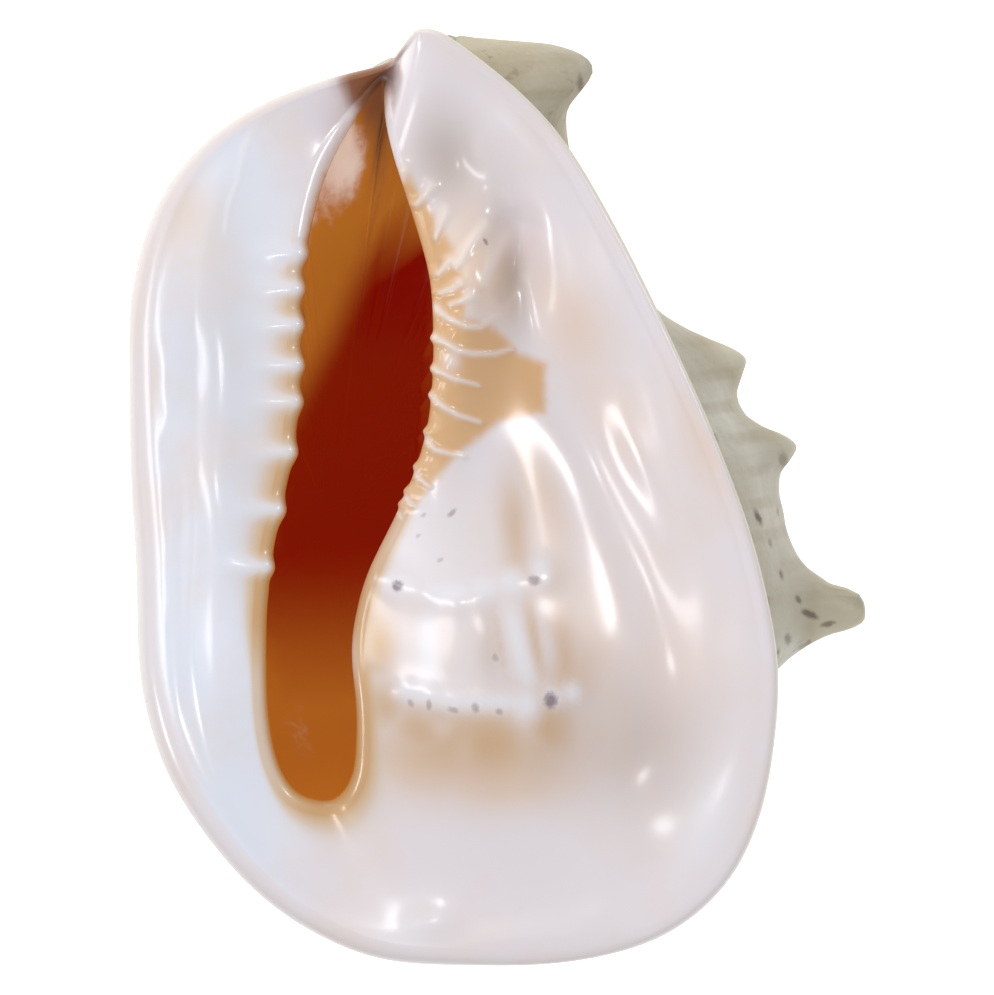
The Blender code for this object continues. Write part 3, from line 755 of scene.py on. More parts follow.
# Soft widths of these loops, in mm
ORANGE_SOFT, RED_SOFT, VEIL_SOFT, NOTCH_SOFT = 6, 11, 7, 5
EDGE_CREAM = ((0, 0.6), (2, 0.5), (5, 0.2), (12, 0.15), (16, 0.5), (19, 1), (23, 1), (25, 0.8))
VEILS = (((-45, 80), (5, 7), 20, 0.45), ((-52, -62), (5, 10), 10, 0.2))
# Greyish painted shade over the hollows: the dish of the upper shield, the low dish of the lower
# shield, the hollow right of the hump, and a greyer patch of the lip; the blot of the bulge above
# is grey of its own
GREY_AND_SHADE_ZONES = (((-12, 88), (10, 13), 20, 0.75), ((40, -66), (17, 21), 20, 0.6),
              ((3, 57), (4, 12), 12, 0.95), ((-74, 40), (12, 34), 0, 0.3), *GREY_BLOTS)
PEACH_ZONES = (((-5, 60), (9, 17), 15, 0.75), ((20, 46), (9, 16), 25, 0.5),
               ((30, 22), (8, 20), 30, 0.35), ((53, 15), (6, 18), 25, 0.45),
               ((-91, 28), (4, 12), 0, 0.5), ((-91, -6), (4, 9), 0, 0.45),
               ((-82, 74), (9, 11), 30, 0.45), ((14, -6), (6, 18), 6, 0.5),
               ((26, -34), (9, 24), 10, 0.45), ((-22, -70), (14, 8), -20, 0.5),
               ((2, -76), (16, 6), 0, 0.5), ((46, -40), (14, 22), 0, 0.3))
# Marks of the bulge: width of the pale row, size of its beads, and the strength of each
PALE_ROW_WIDTH, PALE_BEAD_SIZE = 2.6, (2.4, 2.4)
PALE_ROW, PALE_BEADS, PALE_OVER_TAN = 0.8, 0.9, 0.55
LAYER_WIDTH, LAYER_PALE = 1.6, 0.35
WARM_BETWEEN_TEETH = 0.8
# Left of this line the glaze is the lip's; below the next one the red fades to orange
LIP_FROM_X, LIP_OVER = -38, 30
RED_FADE_FROM, RED_FADE_OVER, RED_FADE = -14, 40, 0.8
# Rings before the face at which its colours and the notch's set in, and over how many
FACE_START, NOTCH_START, START_OVER = 3, 8, 4
# Steps of the glaze and the cream edge across the rim, and of the red down the hollow
GLAZE_RATE, GLAZE_OFFSET = 2.2, 0.5
EDGE_RISE, EDGE_FALL = 2.5, 2.2
RED_RATE, RED_OFFSET = 5, 0.6


def inside_loop(x, y, points, soft):
    """1 inside a closed line and 0 outside: its signed distance over a soft width."""
    points = np.array(points, float)
    nearest = np.full(x.shape, np.inf)
    inside = np.zeros(x.shape, bool)
    for start, end in zip(points, np.roll(points, -1, axis=0)):
        nearest = np.minimum(nearest, to_stretch(x, y, start, end)[1])
        (x0, y0), (x1, y1) = start, end
        inside ^= ((y0 > y) != (y1 > y)) & (x < x0 + (y - y0) * (x1 - x0) / (y1 - y0 + 1e-12))
    return smooth_step(np.where(inside, nearest, -nearest) / soft + 0.5)


def blots(x, y, zones):
    """Greatest of strength times mound over zones of (centre, size, turn, strength)."""
    marks = [zone[-1] * mound(x, y, *zone[:-1]) for zone in zones]
    return np.max(marks, axis=0)


def bulge_colours(x, y):
    """Tan and pale blots of the earlier turn that shows through the glaze; two of the pale blots
    are painted highlights near the rim.
    """
    row = PALE_ROW * stroke(x, y, LOWER_BEADS[:6], PALE_ROW_WIDTH, 0)
    beads = sum(mound(x, y, at, PALE_BEAD_SIZE) for at in LOWER_BEADS)
    beads = PALE_BEADS * np.clip(beads, 0, 1)
    pale_and_highlight = np.maximum.reduce([blots(x, y, PALE_AND_HIGHLIGHT_BLOTS), row, beads])
    tan = blots(x, y, TAN_BLOTS) * (1 - blots(x, y, CREAM_BLOTS))
    return tan * (1 - PALE_OVER_TAN * pale_and_highlight), pale_and_highlight


def colour_masks():
    """One mask per colour layer, painted shade and highlights among them, as arrays over rings and
    columns.
    """
    x, y = rings[..., 0], rings[..., 1]
    first_face = BACK_RINGS + NECK_RINGS + RIM_RINGS
    first_hollow = first_face + FACE_RINGS + EDGE_RINGS
    ring = np.arange(len(rings))[:, None] + np.zeros(COLUMNS)
    rim_share = (ring - BACK_RINGS - NECK_RINGS) / (RIM_RINGS - 1)
    on_face = smooth_step((ring - first_face + FACE_START) / START_OVER)
    on_notch = smooth_step((ring - first_face + NOTCH_START) / START_OVER)
    to_mouth = np.linalg.norm(rings[..., :2] - face_end[:, :2], axis=-1)
    to_mouth = np.where(ring >= first_face + FACE_RINGS - 1, 0, to_mouth)
    warm = np.exp(-to_mouth / round_track(WARM_WIDTH, station, STATIONS)) * on_face
    warm *= round_track(WARM_STRENGTH, station, STATIONS)
    teeth = teeth_marks(x, y, face_end[:, 0]) * tooth_row(y)
    tan, pale_and_highlight = bulge_colours(x, y)
    lines = np.clip(sum(stroke(x, y, *line[:2]) for line in RIDGE_LINES + WRINKLE_LINES), 0, 1)
    layer = LAYER_PALE * stroke(x, y, LAYER_EDGE[0], LAYER_WIDTH)
    depth = (ring - first_hollow + EDGE_RINGS) / (HOLLOW_RINGS + EDGE_RINGS)
    red = 1 - RED_FADE * smooth_step((RED_FADE_FROM - y) / RED_FADE_OVER)
    return {
        "glaze": smooth_step(GLAZE_RATE * rim_share - GLAZE_OFFSET),
        "lip": smooth_step((LIP_FROM_X - x) / LIP_OVER) * on_face,
        # Painted shade in the hollows, and the bulge's grey blot
        "grey_and_shade": blots(x, y, GREY_AND_SHADE_ZONES) * on_face,
        "peach": blots(x, y, PEACH_ZONES) * on_face,
        "warm": np.clip(warm * (1 - WARM_BETWEEN_TEETH * teeth), 0, 1),
        "tan": np.clip(tan, 0, 1) * on_face,
        "orange": inside_loop(x, y, ORANGE_LOOP, ORANGE_SOFT) * on_face,
        # Pale marks of the bulge, with two painted highlights near the rim
        "pale_and_highlight": np.clip(np.maximum(pale_and_highlight, layer), 0, 1) * on_face,
        "ridge": lines * on_face,
        "depth": np.clip(depth - round_track(MOUTH_START, station, STATIONS), 0, 1),
        "horn": np.concatenate([horn_share, np.zeros((len(rings) - BACK_RINGS, COLUMNS))]),
        "red": red * inside_loop(x, y, RED_LOOP, RED_SOFT)
        * smooth_step(RED_RATE * depth - RED_OFFSET),
        "veil": np.maximum(blots(x, y, VEILS), inside_loop(x, y, VEIL_LOOP, VEIL_SOFT)),
        # Brown of the notch, darkened as painted shade in the canal's recess
        "notch": inside_loop(x, y, NOTCH_LOOP, NOTCH_SOFT) * on_notch,
        "edge": smooth_step(EDGE_RISE * rim_share) * smooth_step(EDGE_FALL * (1 - rim_share))
        * round_track(EDGE_CREAM, station, STATIONS),
    }


masks = colour_masks()
print("masks:", {name: round(float(mask.mean()), 3) for name, mask in masks.items()})

# %% [markdown]
# ## Lying on its back
#
# On the floor the shell rests on two horns and on the canal's hook, so the face looks up
# and leans 24 degrees towards the front. The turn and the middle are the part's own. The
# feet are worn flat on the floor, and the tips of the horns are kept inside the part's box
# by a soft limit that only bends the last millimetre.

# %% Turning the shell
LIE_TIP_DEG = 23.5
LIE_ROLL_DEG = -0.8
MIDDLE = np.array((0.600, -7.649, -132.371))
SOFT_LIMIT = 1.5
BOX_MARGIN = 0.01


def lying_turn():
    """Rotation matrix of the roll times that of the tip."""
    tip, roll = math.radians(-LIE_TIP_DEG), math.radians(LIE_ROLL_DEG)
    tipped = np.array(((1, 0, 0), (0, math.cos(tip), -math.sin(tip)),
                       (0, math.sin(tip), math.cos(tip))))
    rolled = np.array(((math.cos(roll), 0, math.sin(roll)), (0, 1, 0),
                       (-math.sin(roll), 0, math.cos(roll))))
    return rolled @ tipped


def as_it_lies(points):
    """Turned points less the middle."""
    return points @ lying_turn().T - MIDDLE


def kept_inside(values, limit):
    """Values past limit - soft bend as limit - soft * exp(-overshoot / soft)."""
    over = np.clip(values - (limit - SOFT_LIMIT), 0, None)
    return np.where(over > 0, limit - SOFT_LIMIT * np.exp(-over / SOFT_LIMIT), values)


poles = np.stack([rings[0].mean(axis=0), rings[-1].mean(axis=0)])
face_places = np.vstack([rings.reshape(-1, 3), poles])
points = as_it_lies(face_places)
print("before the limit, mm:", points.min(axis=0).round(2), points.max(axis=0).round(2))
for axis in range(3):
    points[:, axis] = kept_inside(points[:, axis], cad_high[axis] / MM - BOX_MARGIN)
for axis in range(2):
    points[:, axis] = -kept_inside(-points[:, axis], -cad_low[axis] / MM - BOX_MARGIN)
points[:, 2] = np.maximum(points[:, 2], 0)

# %% [markdown]
# ## One closed mesh
#
# The rings become quads, with a fan of triangles at each pole, so the skin is closed and
# its faces look outwards. The masks go in as point attributes. Two more attributes hold
# places for the patterns: where a point is on the face, and where it is round the coil.

# %% The mesh
def shell_faces(count, columns):
    """Quads between neighbouring rings, and a fan at each pole."""
    ring, column = np.meshgrid(np.arange(count - 1), np.arange(columns), indexing="ij")
    after = (column + 1) % columns
    quads = np.stack([ring * columns + column, ring * columns + after,
                      (ring + 1) * columns + after, (ring + 1) * columns + column], axis=-1)
    run, after = np.arange(columns), (np.arange(columns) + 1) % columns
    first, base = count * columns, (count - 1) * columns
    near = np.stack([np.full(columns, first), after, run], axis=1)
    far = np.stack([np.full(columns, first + 1), base + run, base + after], axis=1)
    return quads.reshape(-1, 4).tolist() + near.tolist() + far.tolist()


def add_attribute(mesh, name, values):
    """One number or one vector per point, as a point attribute."""
    kind, field = ("FLOAT", "value") if values.ndim == 1 else ("FLOAT_VECTOR", "vector")
    attribute = mesh.attributes.new(name, kind, "POINT")
    attribute.data.foreach_set(field, values.astype(np.float32).ravel())


mesh = bpy.data.meshes.new("helmet_shell")
mesh.from_pydata((points * MM).tolist(), [], shell_faces(*rings.shape[:2]))
mesh.shade_smooth()
for name, mask in masks.items():
    at_poles = [mask[0].mean(), mask[-1].mean()]
    add_attribute(mesh, name, np.concatenate([mask.ravel(), at_poles]))
radius, angle, along = coil_place(face_places)
add_attribute(mesh, "face_place", face_places)
add_attribute(mesh, "coil_place", np.column_stack([angle, along, radius]))
shell = bpy.data.objects.new("helmet_shell", mesh)
bpy.context.scene.collection.objects.link(shell)
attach(shell, "root")
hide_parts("shell")
print("shell:", len(mesh.vertices), "points,", len(mesh.polygons), "faces")

# %% [markdown]
# ## Two small node groups
#
# Two effects come again and again in the shell's finish: cloudy mottling, and small flecks
# of pigment with ragged edges. Each is built once as a node group with named sockets, and
# puts out a mask only. The colours and the shader stay in the material.

# %% Node helpers and groups
# Reach, in half sizes plus noise, over which a fleck fades out
FLECK_EDGE = (0.8, 1.55)


def new_group(name, sockets, outputs):
    """Empty shader group with float or vector inputs and float outputs."""
    group = bpy.data.node_groups.new(name, "ShaderNodeTree")
    for label, kind, value in sockets:
        socket = group.interface.new_socket(label, in_out="INPUT", socket_type=kind)
        socket.default_value = value
    for label in outputs:
        group.interface.new_socket(label, in_out="OUTPUT", socket_type="NodeSocketFloat")
    return group, group.nodes.new("NodeGroupInput"), group.nodes.new("NodeGroupOutput")


def feed(node, values):
    """Gives inputs their values by name or number: a socket is linked, all else is set."""
    for place, value in values.items():
        if isinstance(value, bpy.types.NodeSocket):
            node.id_data.links.new(value, node.inputs[place])
        else:
            node.inputs[place].default_value = value


def math_node(tree, operation, *values):
    """Math node; each value is a number or a socket."""
    node = tree.nodes.new("ShaderNodeMath")
    node.operation = operation
    feed(node, dict(enumerate(values)))
    return node.outputs[0]


def times(tree, *values):
    """Product of two values."""
    return math_node(tree, "MULTIPLY", *values)


def noise_node(tree, vector, scale, detail=3, roughness=0.55, distortion=0.0):
    """Noise on a vector; a number or a socket gives the scale."""
    node = tree.nodes.new("ShaderNodeTexNoise")
    feed(node, {"Vector": vector, "Scale": scale, "Detail": detail, "Roughness": roughness,
                "Distortion": distortion})
    return node.outputs[0]


def step_node(tree, value, low, high):
    """Smooth step of a socket from low to high."""
    node = tree.nodes.new("ShaderNodeMapRange")
    node.interpolation_type = "SMOOTHSTEP"
    feed(node, {0: value, 1: low, 2: high})
    return node.outputs[0]


def mottle_group():
    """Smooth step of noise between threshold and threshold + softness."""
    group, given, out = new_group(
        "mottle",
        (("Vector", "NodeSocketVector", (0, 0, 0)), ("Scale", "NodeSocketFloat", 40),
         ("Threshold", "NodeSocketFloat", 0.5), ("Softness", "NodeSocketFloat", 0.15)),
        ("Mask",))
    noise = noise_node(group, given.outputs["Vector"], given.outputs["Scale"], detail=5)
    top = math_node(group, "ADD", given.outputs["Threshold"], given.outputs["Softness"])
    mask = step_node(group, noise, given.outputs["Threshold"], top)
    group.links.new(mask, out.inputs["Mask"])
    return group


def fleck_group():
    """1 within a small oval round a centre, with an edge that the given noise moves."""
    group, given, out = new_group(
        "fleck",
        (("Vector", "NodeSocketVector", (0, 0, 0)), ("Centre", "NodeSocketVector", (0, 0, 0)),
         ("Turn", "NodeSocketVector", (0, 0, 0)), ("Size", "NodeSocketVector", (1, 1, 1)),
         ("Noise", "NodeSocketFloat", 0.5)),
        ("Mask",))
    mapping = group.nodes.new("ShaderNodeMapping")
    mapping.vector_type = "TEXTURE"
    feed(mapping, {"Vector": given.outputs["Vector"], "Location": given.outputs["Centre"],
                   "Rotation": given.outputs["Turn"], "Scale": given.outputs["Size"]})
    length = group.nodes.new("ShaderNodeVectorMath")
    length.operation = "LENGTH"
    feed(length, {0: mapping.outputs[0]})
    reach = math_node(group, "ADD", length.outputs["Value"], given.outputs["Noise"])
    inside = step_node(group, reach, *FLECK_EDGE)
    group.links.new(math_node(group, "SUBTRACT", 1.0, inside), out.inputs["Mask"])
    return group


MOTTLE = mottle_group()
FLECK = fleck_group()
print("groups:", MOTTLE.name, FLECK.name)

# %% [markdown]
# ## The shell's finish
#
# The glaze is painted in layers, each one a colour and a mask, like slips on pottery: warm
# white on the shield, cooler white on the lip, then greyish painted shade in the hollows,
# peach, tan and orange, pale blots with two painted highlights among them, white ridges and
# purple flecks on top. Inside the mouth the orange deepens to a dark red, the notch's brown
# is darkened as painted shade, and the mouth has a painted glow. The back is chalky: beige,
# with darker growth lines, spiral bands and brown flecks.

# %% Colours and flecks
def paint(red, green, blue):
    """Screen colour from 0 to 255, as linear light: ((c + 0.055) / 1.055)^2.4."""
    return (*(((c / 255 + 0.055) / 1.055) ** 2.4 for c in (red, green, blue)), 1.0)


SHIELD_WHITE = paint(241, 233, 237)
LIP_WHITE = paint(236, 240, 252)
BLUSH = paint(242, 226, 220)
# Grey of the painted shade in the hollows, and of the bulge's grey blot
GREY_AND_SHADE = paint(198, 184, 177)
PEACH = paint(240, 208, 178)
TAN = paint(215, 176, 132)
ORANGE = paint(230, 184, 134)
RIDGE = paint(246, 232, 224)
# White of the pale marks and of the two painted highlights
PALE_AND_HIGHLIGHT = paint(245, 243, 248)
PURPLE = paint(108, 74, 88)
MOUTH_RED = paint(150, 0, 0)
VEIL = paint(242, 236, 230)
# Brown of the canal's notch, darkened as painted shade
NOTCH_BROWN_AND_SHADE = paint(156, 106, 74)
EDGE = paint(216, 206, 182)
# From the white of the lip to its edge, and on from the edge into the mouth
LIP_RAMP = ((0.0, paint(238, 234, 238)), (0.35, paint(232, 216, 204)),
            (0.7, paint(224, 194, 160)), (1.0, paint(216, 172, 122)))
MOUTH_RAMP = ((0.0, paint(216, 174, 122)), (0.14, paint(216, 160, 80)),
              (0.3, paint(215, 151, 58)), (1.0, paint(205, 136, 50)))
# Painted glow of the mouth, which is no lamp: its strength, its dimming inside, and its colour in
# the lip's white
PAINTED_GLOW = 0.6
PAINTED_GLOW_DIM = 0.567
VEIL_PAINTED_GLOW = paint(208, 206, 198)
BLACK = (0, 0, 0, 1)
BACK_BEIGE = paint(196, 190, 172)
BACK_CHALK = paint(212, 208, 194)
BACK_SHADE = paint(170, 158, 130)
BACK_TAN = paint(184, 168, 134)
BACK_BROWN = paint(82, 50, 38)
HORN_CREAM = paint(216, 208, 180)

# Cloudy patterns, as values of the mottle group: scale, threshold, softness
BLUSH_CLOUDS = (0.03, 0.42, 0.3)
CHALK_CLOUDS = (28, 0.45, 0.25)
BAND_CLOUDS = (60, 0.35, 0.3)
STAIN_CLOUDS = (17, 0.46, 0.22)
SPECKS = (110, 0.6, 0.06)
SPECK_CLOUDS = (22, 0.46, 0.12)
# Strengths of single layers
BLUSH_STRENGTH, RIDGE_STRENGTH = 0.6, 0.85
BAND_STRENGTH, STAIN_STRENGTH, SPECK_STRENGTH = 0.45, 0.6, 0.6
# Darker ring round the foot of a horn, as a peak of the horn's mask, and the cream of its tip
FOOT_RATE, FOOT_PEAK, FOOT_STRENGTH = 1.4, 0.7, 0.6
TIP_RANGE, TIP_STRENGTH = (0.3, 1.4), 0.75
# Relief of the back: rates in radians to a degree or a millimetre, and heights in metres
GROWTH_RATE, GROWTH_DRIFT, GROWTH_HEIGHT = 1.6, 9.0, 0.00004
THREAD_RATE, THREAD_HEIGHT = 3.2, 0.00002
GRAIN_HEIGHT, SKIN_HEIGHT = 0.0004, 0.00002
# Roughness of the back and of the glaze: how far the noise swings it, and the least
DULL_SWING, DULL_LEAST = 0.3, 0.45
SHEEN_SWING, SHEEN_LEAST = 0.12, 0.26
COAT, COAT_ROUGHNESS, BUMP = 0.7, 0.15, 0.8
# Ranges of the masks over which a layer sets in, and how far noise tears the ragged ones
WARM_RANGE, MOUTH_RANGE, PAINTED_GLOW_RANGE = (0.02, 0.5), (0.0, 0.16), (0.05, 0.35)
VEIL_RANGE, BAND_RANGE, RAGGED_RANGE = (0.0, 0.3), (0.1, -1.0), (0.1, 0.95)
VEIL_TEAR, ORANGE_TEAR = 0.6, 0.3
# Half depth of a fleck in mm, on the face and on the steeper back
FACE_FLECK_DEPTH, BACK_FLECK_DEPTH = 20, 7

# Purple flecks of the bulge: centre, half length, half width, turn in degrees, strength
GLAZE_FLECKS = (
    ((-25.9, -23.0), 1.9, 1.9, 0, 0.75), ((-32.2, -18.5), 0.9, 2.6, -15, 0.45),
    ((9.7, -21.6), 2.4, 1.8, 0, 0.6), ((14.0, -52.8), 2.4, 2.8, 0, 0.75),
    ((-22.4, -53.6), 1.1, 1.5, 25, 0.35), ((-17.7, -53.9), 1.0, 1.9, 0, 0.4),
    ((-11.4, -55.2), 1.9, 1.1, -20, 0.35), ((-5.6, -54.6), 1.3, 1.8, 20, 0.4),
    ((0.6, -55.6), 1.4, 1.1, -30, 0.4), ((-11.7, -4.0), 1.9, 0.9, 40, 0.45),
    ((-19.1, -4.6), 1.1, 0.7, 40, 0.3), ((-20.5, -10.0), 1.0, 0.6, 50, 0.3),
    ((-14.8, -16.2), 1.2, 0.8, 20, 0.3), ((-0.4, -41.6), 1.1, 1.6, 20, 0.3),
    ((-3.0, 66.6), 0.7, 1.4, 25, 0.6),
)
# Brown flecks on the side of the back
BACK_FLECKS = (
    ((56.7, 15.7), 1.3, 2.6, 20, 0.7), ((68.4, -5.3), 1.2, 3.2, 25, 0.8),
    ((71.5, -11.8), 0.9, 1.8, 10, 0.5), ((74.4, -20.2), 0.9, 2.0, 15, 0.7),
    ((70.5, -27.9), 1.2, 2.8, -10, 0.5), ((72.8, -42.8), 1.3, 4.5, -15, 0.7),
    ((81.9, -30.6), 3.4, 1.3, -25, 0.7), ((86.6, -33.1), 2.6, 1.1, 15, 0.6),
    ((74.9, 9.8), 1.6, 3.0, 15, 0.4), ((78.8, -26.7), 1.0, 1.6, 30, 0.6),
    ((76.2, -37.1), 1.4, 2.2, 0, 0.5), ((22.0, 107.5), 1.4, 4.0, 5, 0.6),
)

# %% The material
def attribute_node(tree, name):
    """Node that reads a point attribute."""
    node = tree.nodes.new("ShaderNodeAttribute")
    node.attribute_name = name
    return node


def painted(tree, below, *layers):
    """Each layer of (colour, mask) mixed over what lies below it."""
    for above, mask in layers:
        node = tree.nodes.new("ShaderNodeMix")
        node.data_type = "RGBA"
        feed(node, {0: mask, 6: below, 7: above})
        below = node.outputs[2]
    return below


def group_mask(tree, group, values):
    """Mask that a node group gives for these values."""
    node = tree.nodes.new("ShaderNodeGroup")
    node.node_tree = group
    feed(node, values)
    return node.outputs["Mask"]


def mottle(tree, vector, scale, threshold, softness):
    """Mask of the mottle group with these values."""
    return group_mask(tree, MOTTLE, {"Vector": vector, "Scale": scale, "Threshold": threshold,
                                     "Softness": softness})


def wall_height(x, y, wall):
    """Greatest z of the wall's points within 2 mm of this place in the face's plane."""
    near = np.hypot(wall[..., 0] - x, wall[..., 1] - y) < 2
    return float(wall[near][:, 2].max(initial=wall[..., 2].min()))


def fleck_mask(tree, place, noise, flecks, wall, half_depth):
    """Greatest mask of a list of flecks, each one an oval on this wall."""
    total = 0.0
    for (x, y), half_length, half_width, turn, strength in flecks:
        mask = group_mask(tree, FLECK, {
            "Vector": place, "Noise": noise, "Centre": (x, y, wall_height(x, y, wall)),
            "Turn": (0, 0, math.radians(turn)), "Size": (half_length, half_width, half_depth)})
        total = math_node(tree, "MAXIMUM", total, times(tree, mask, strength))
    return total


def ragged(tree, mask, noise, amount):
    """Mask pushed up and down by noise, then sharpened: its edge becomes uneven."""
    swing = math_node(tree, "MULTIPLY_ADD", noise, amount, -amount / 2)
    return step_node(tree, math_node(tree, "ADD", mask, swing), *RAGGED_RANGE)


def ramp_node(tree, mask, stops):
    """Colour ramp with these stops of (place, colour)."""
    node = tree.nodes.new("ShaderNodeValToRGB")
    feed(node, {0: mask})
    while len(node.color_ramp.elements) < len(stops):
        node.color_ramp.elements.new(1.0)
    for element, (place, colour) in zip(node.color_ramp.elements, stops):
        element.position = place
        element.color = colour
    return node.outputs[0]


def veil_mask(tree, masks, noise):
    """Ragged mask of the lip's white inside the mouth, held at 0 away from it."""
    near = step_node(tree, masks["veil"], *VEIL_RANGE)
    return times(tree, ragged(tree, masks["veil"], noise, VEIL_TEAR), near)


def mouth_colour(tree, masks, veil):
    """Orange that deepens inwards, the dark red of the inner wall, the notch's brown darkened as
    painted shade, and the lip's white.
    """
    return painted(tree, ramp_node(tree, masks["depth"], MOUTH_RAMP),
                   (MOUTH_RED, masks["red"]), (NOTCH_BROWN_AND_SHADE, masks["notch"]), (VEIL, veil))


def painted_mouth_glow(tree, masks, inner, veil):
    """Painted glow, though the shell is no lamp: dim in the mouth, stronger in the lip's white."""
    glow = painted(tree, inner, (BLACK, PAINTED_GLOW_DIM), (VEIL_PAINTED_GLOW, veil))
    return painted(tree, BLACK, (glow, step_node(tree, masks["depth"], *PAINTED_GLOW_RANGE)))


def glaze_colour(tree, place, masks, noise, torn, inner):
    """The painted layers of the face."""
    blush = times(tree, mottle(tree, place, *BLUSH_CLOUDS), BLUSH_STRENGTH)
    flecks = fleck_mask(tree, place, torn, GLAZE_FLECKS, face, FACE_FLECK_DEPTH)
    return painted(
        tree, SHIELD_WHITE,
        (LIP_WHITE, masks["lip"]),
        (BLUSH, blush),
        # Greyish painted shade in the hollows
        (GREY_AND_SHADE, masks["grey_and_shade"]),
        (PEACH, masks["peach"]),
        (ramp_node(tree, masks["warm"], LIP_RAMP), step_node(tree, masks["warm"], *WARM_RANGE)),
        (TAN, masks["tan"]),
        (ORANGE, ragged(tree, masks["orange"], noise, ORANGE_TEAR)),
        # Pale marks of the bulge, with two painted highlights near the rim
        (PALE_AND_HIGHLIGHT, masks["pale_and_highlight"]),
        (RIDGE, times(tree, masks["ridge"], RIDGE_STRENGTH)),
        (PURPLE, flecks),
        (EDGE, masks["edge"]),
        # Brown of the notch, darkened as painted shade
        (NOTCH_BROWN_AND_SHADE, masks["notch"]),
        (inner, step_node(tree, masks["depth"], *MOUTH_RANGE)),
    )


def back_colour(tree, along, place, object_place, horn, torn):
    """Beige back with spiral bands, stains, darker rings round the horns' feet, creamy horn tips,
    and brown flecks.
    """
    band = math_node(tree, "COSINE", times(tree, along, 2 * math.pi / CORD_GAP))
    band = step_node(tree, band, *BAND_RANGE)
    band = times(tree, band, mottle(tree, object_place, *BAND_CLOUDS))
    stain = times(tree, mottle(tree, object_place, *STAIN_CLOUDS), STAIN_STRENGTH)
    foot = math_node(tree, "PINGPONG", times(tree, horn, FOOT_RATE), FOOT_PEAK)
    specks = times(tree, mottle(tree, object_place, *SPECKS),
                   mottle(tree, object_place, *SPECK_CLOUDS))
    flecks = fleck_mask(tree, place, torn, BACK_FLECKS, back, BACK_FLECK_DEPTH)
    return painted(
        tree, BACK_BEIGE,
        (BACK_CHALK, mottle(tree, object_place, *CHALK_CLOUDS)),
        (BACK_SHADE, times(tree, band, BAND_STRENGTH)),
        (BACK_TAN, math_node(tree, "MAXIMUM", stain, times(tree, foot, FOOT_STRENGTH))),
        (HORN_CREAM, times(tree, step_node(tree, horn, *TIP_RANGE), TIP_STRENGTH)),
        (BACK_BROWN, math_node(tree, "MAXIMUM", flecks, times(tree, specks, SPECK_STRENGTH))),
    )


def back_height(tree, angle, along, object_place):
    """Growth lines across the coil, spiral threads along it, and a fine grain."""
    drift = times(tree, noise_node(tree, object_place, 40), GROWTH_DRIFT)
    growth = math_node(tree, "SINE", math_node(tree, "MULTIPLY_ADD", angle, GROWTH_RATE, drift))
    threads = math_node(tree, "SINE", times(tree, along, THREAD_RATE))
    threads = times(tree, threads, THREAD_HEIGHT)
    grain = noise_node(tree, object_place, 420, detail=4, roughness=0.65)
    height = math_node(tree, "MULTIPLY_ADD", growth, GROWTH_HEIGHT, threads)
    return math_node(tree, "MULTIPLY_ADD", grain, GRAIN_HEIGHT, height)


def new_material(name):
    """Material with its node tree, its shader and the object's coordinates."""
    material = bpy.data.materials.new(name)
    material.use_nodes = True
    tree = material.node_tree
    place = tree.nodes.new("ShaderNodeTexCoord").outputs["Object"]
    return material, tree, tree.nodes["Principled BSDF"], place


def shell_material():
    """Glossy glaze on the face and in the mouth, chalky wall on the back."""
    material, tree, shader, object_place = new_material("helmet_shell")
    # The painted glow is seen where a ray meets it, and it isn't traced as a lamp, which saves
    # time
    material.cycles.emission_sampling = "NONE"
    place = attribute_node(tree, "face_place").outputs["Vector"]
    split = tree.nodes.new("ShaderNodeSeparateXYZ")
    feed(split, {0: attribute_node(tree, "coil_place").outputs["Vector"]})
    angle, along = split.outputs["X"], split.outputs["Y"]
    sockets = {name: attribute_node(tree, name).outputs["Fac"] for name in masks}
    glaze = sockets["glaze"]

    noise = noise_node(tree, place, 0.35, detail=4)
    torn = noise_node(tree, place, 0.8, detail=5, roughness=0.7, distortion=0.6)
    veil = veil_mask(tree, sockets, noise)
    inner = mouth_colour(tree, sockets, veil)
    face_colour = glaze_colour(tree, place, sockets, noise, torn, inner)
    wall_colour = back_colour(tree, along, place, object_place, sockets["horn"], torn)

    dull_noise = noise_node(tree, object_place, 90)
    dull = math_node(tree, "MULTIPLY_ADD", dull_noise, DULL_SWING, DULL_LEAST)
    sheen = math_node(tree, "MULTIPLY_ADD", noise, SHEEN_SWING, SHEEN_LEAST)
    gloss = tree.nodes.new("ShaderNodeMix")
    feed(gloss, {0: glaze, 2: dull, 3: sheen})

    bare = math_node(tree, "SUBTRACT", 1.0, glaze)
    relief = times(tree, back_height(tree, angle, along, object_place), bare)
    skin = times(tree, noise_node(tree, object_place, 90, detail=1), SKIN_HEIGHT)
    bump = tree.nodes.new("ShaderNodeBump")
    feed(bump, {"Strength": BUMP, "Distance": 1.0,
                "Height": math_node(tree, "ADD", relief, skin)})

    feed(shader, {
        "Base Color": painted(tree, wall_colour, (face_colour, glaze)),
        "Roughness": gloss.outputs[0],
        "Coat Weight": times(tree, glaze, COAT),
        "Coat Roughness": COAT_ROUGHNESS,
        # Painted glow of the mouth and the lip's white, which are no lamp
        "Emission Color": painted_mouth_glow(tree, sockets, inner, veil),
        "Emission Strength": PAINTED_GLOW,
        "Normal": bump.outputs[0],
    })
    return material


mesh.materials.append(shell_material())
print("material nodes:", len(mesh.materials[0].node_tree.nodes))

# %% [markdown]
# ## Floor, light and camera
#
# The shell lies on a plain pale table that glows a little, as a product table does, so the
# ground behind the shell stays white. Two large soft boxes shade it, and four small windows
# make the highlights of the glaze. The camera looks straight into the face. A very long lens
# keeps the shell's near and far parts at one scale.

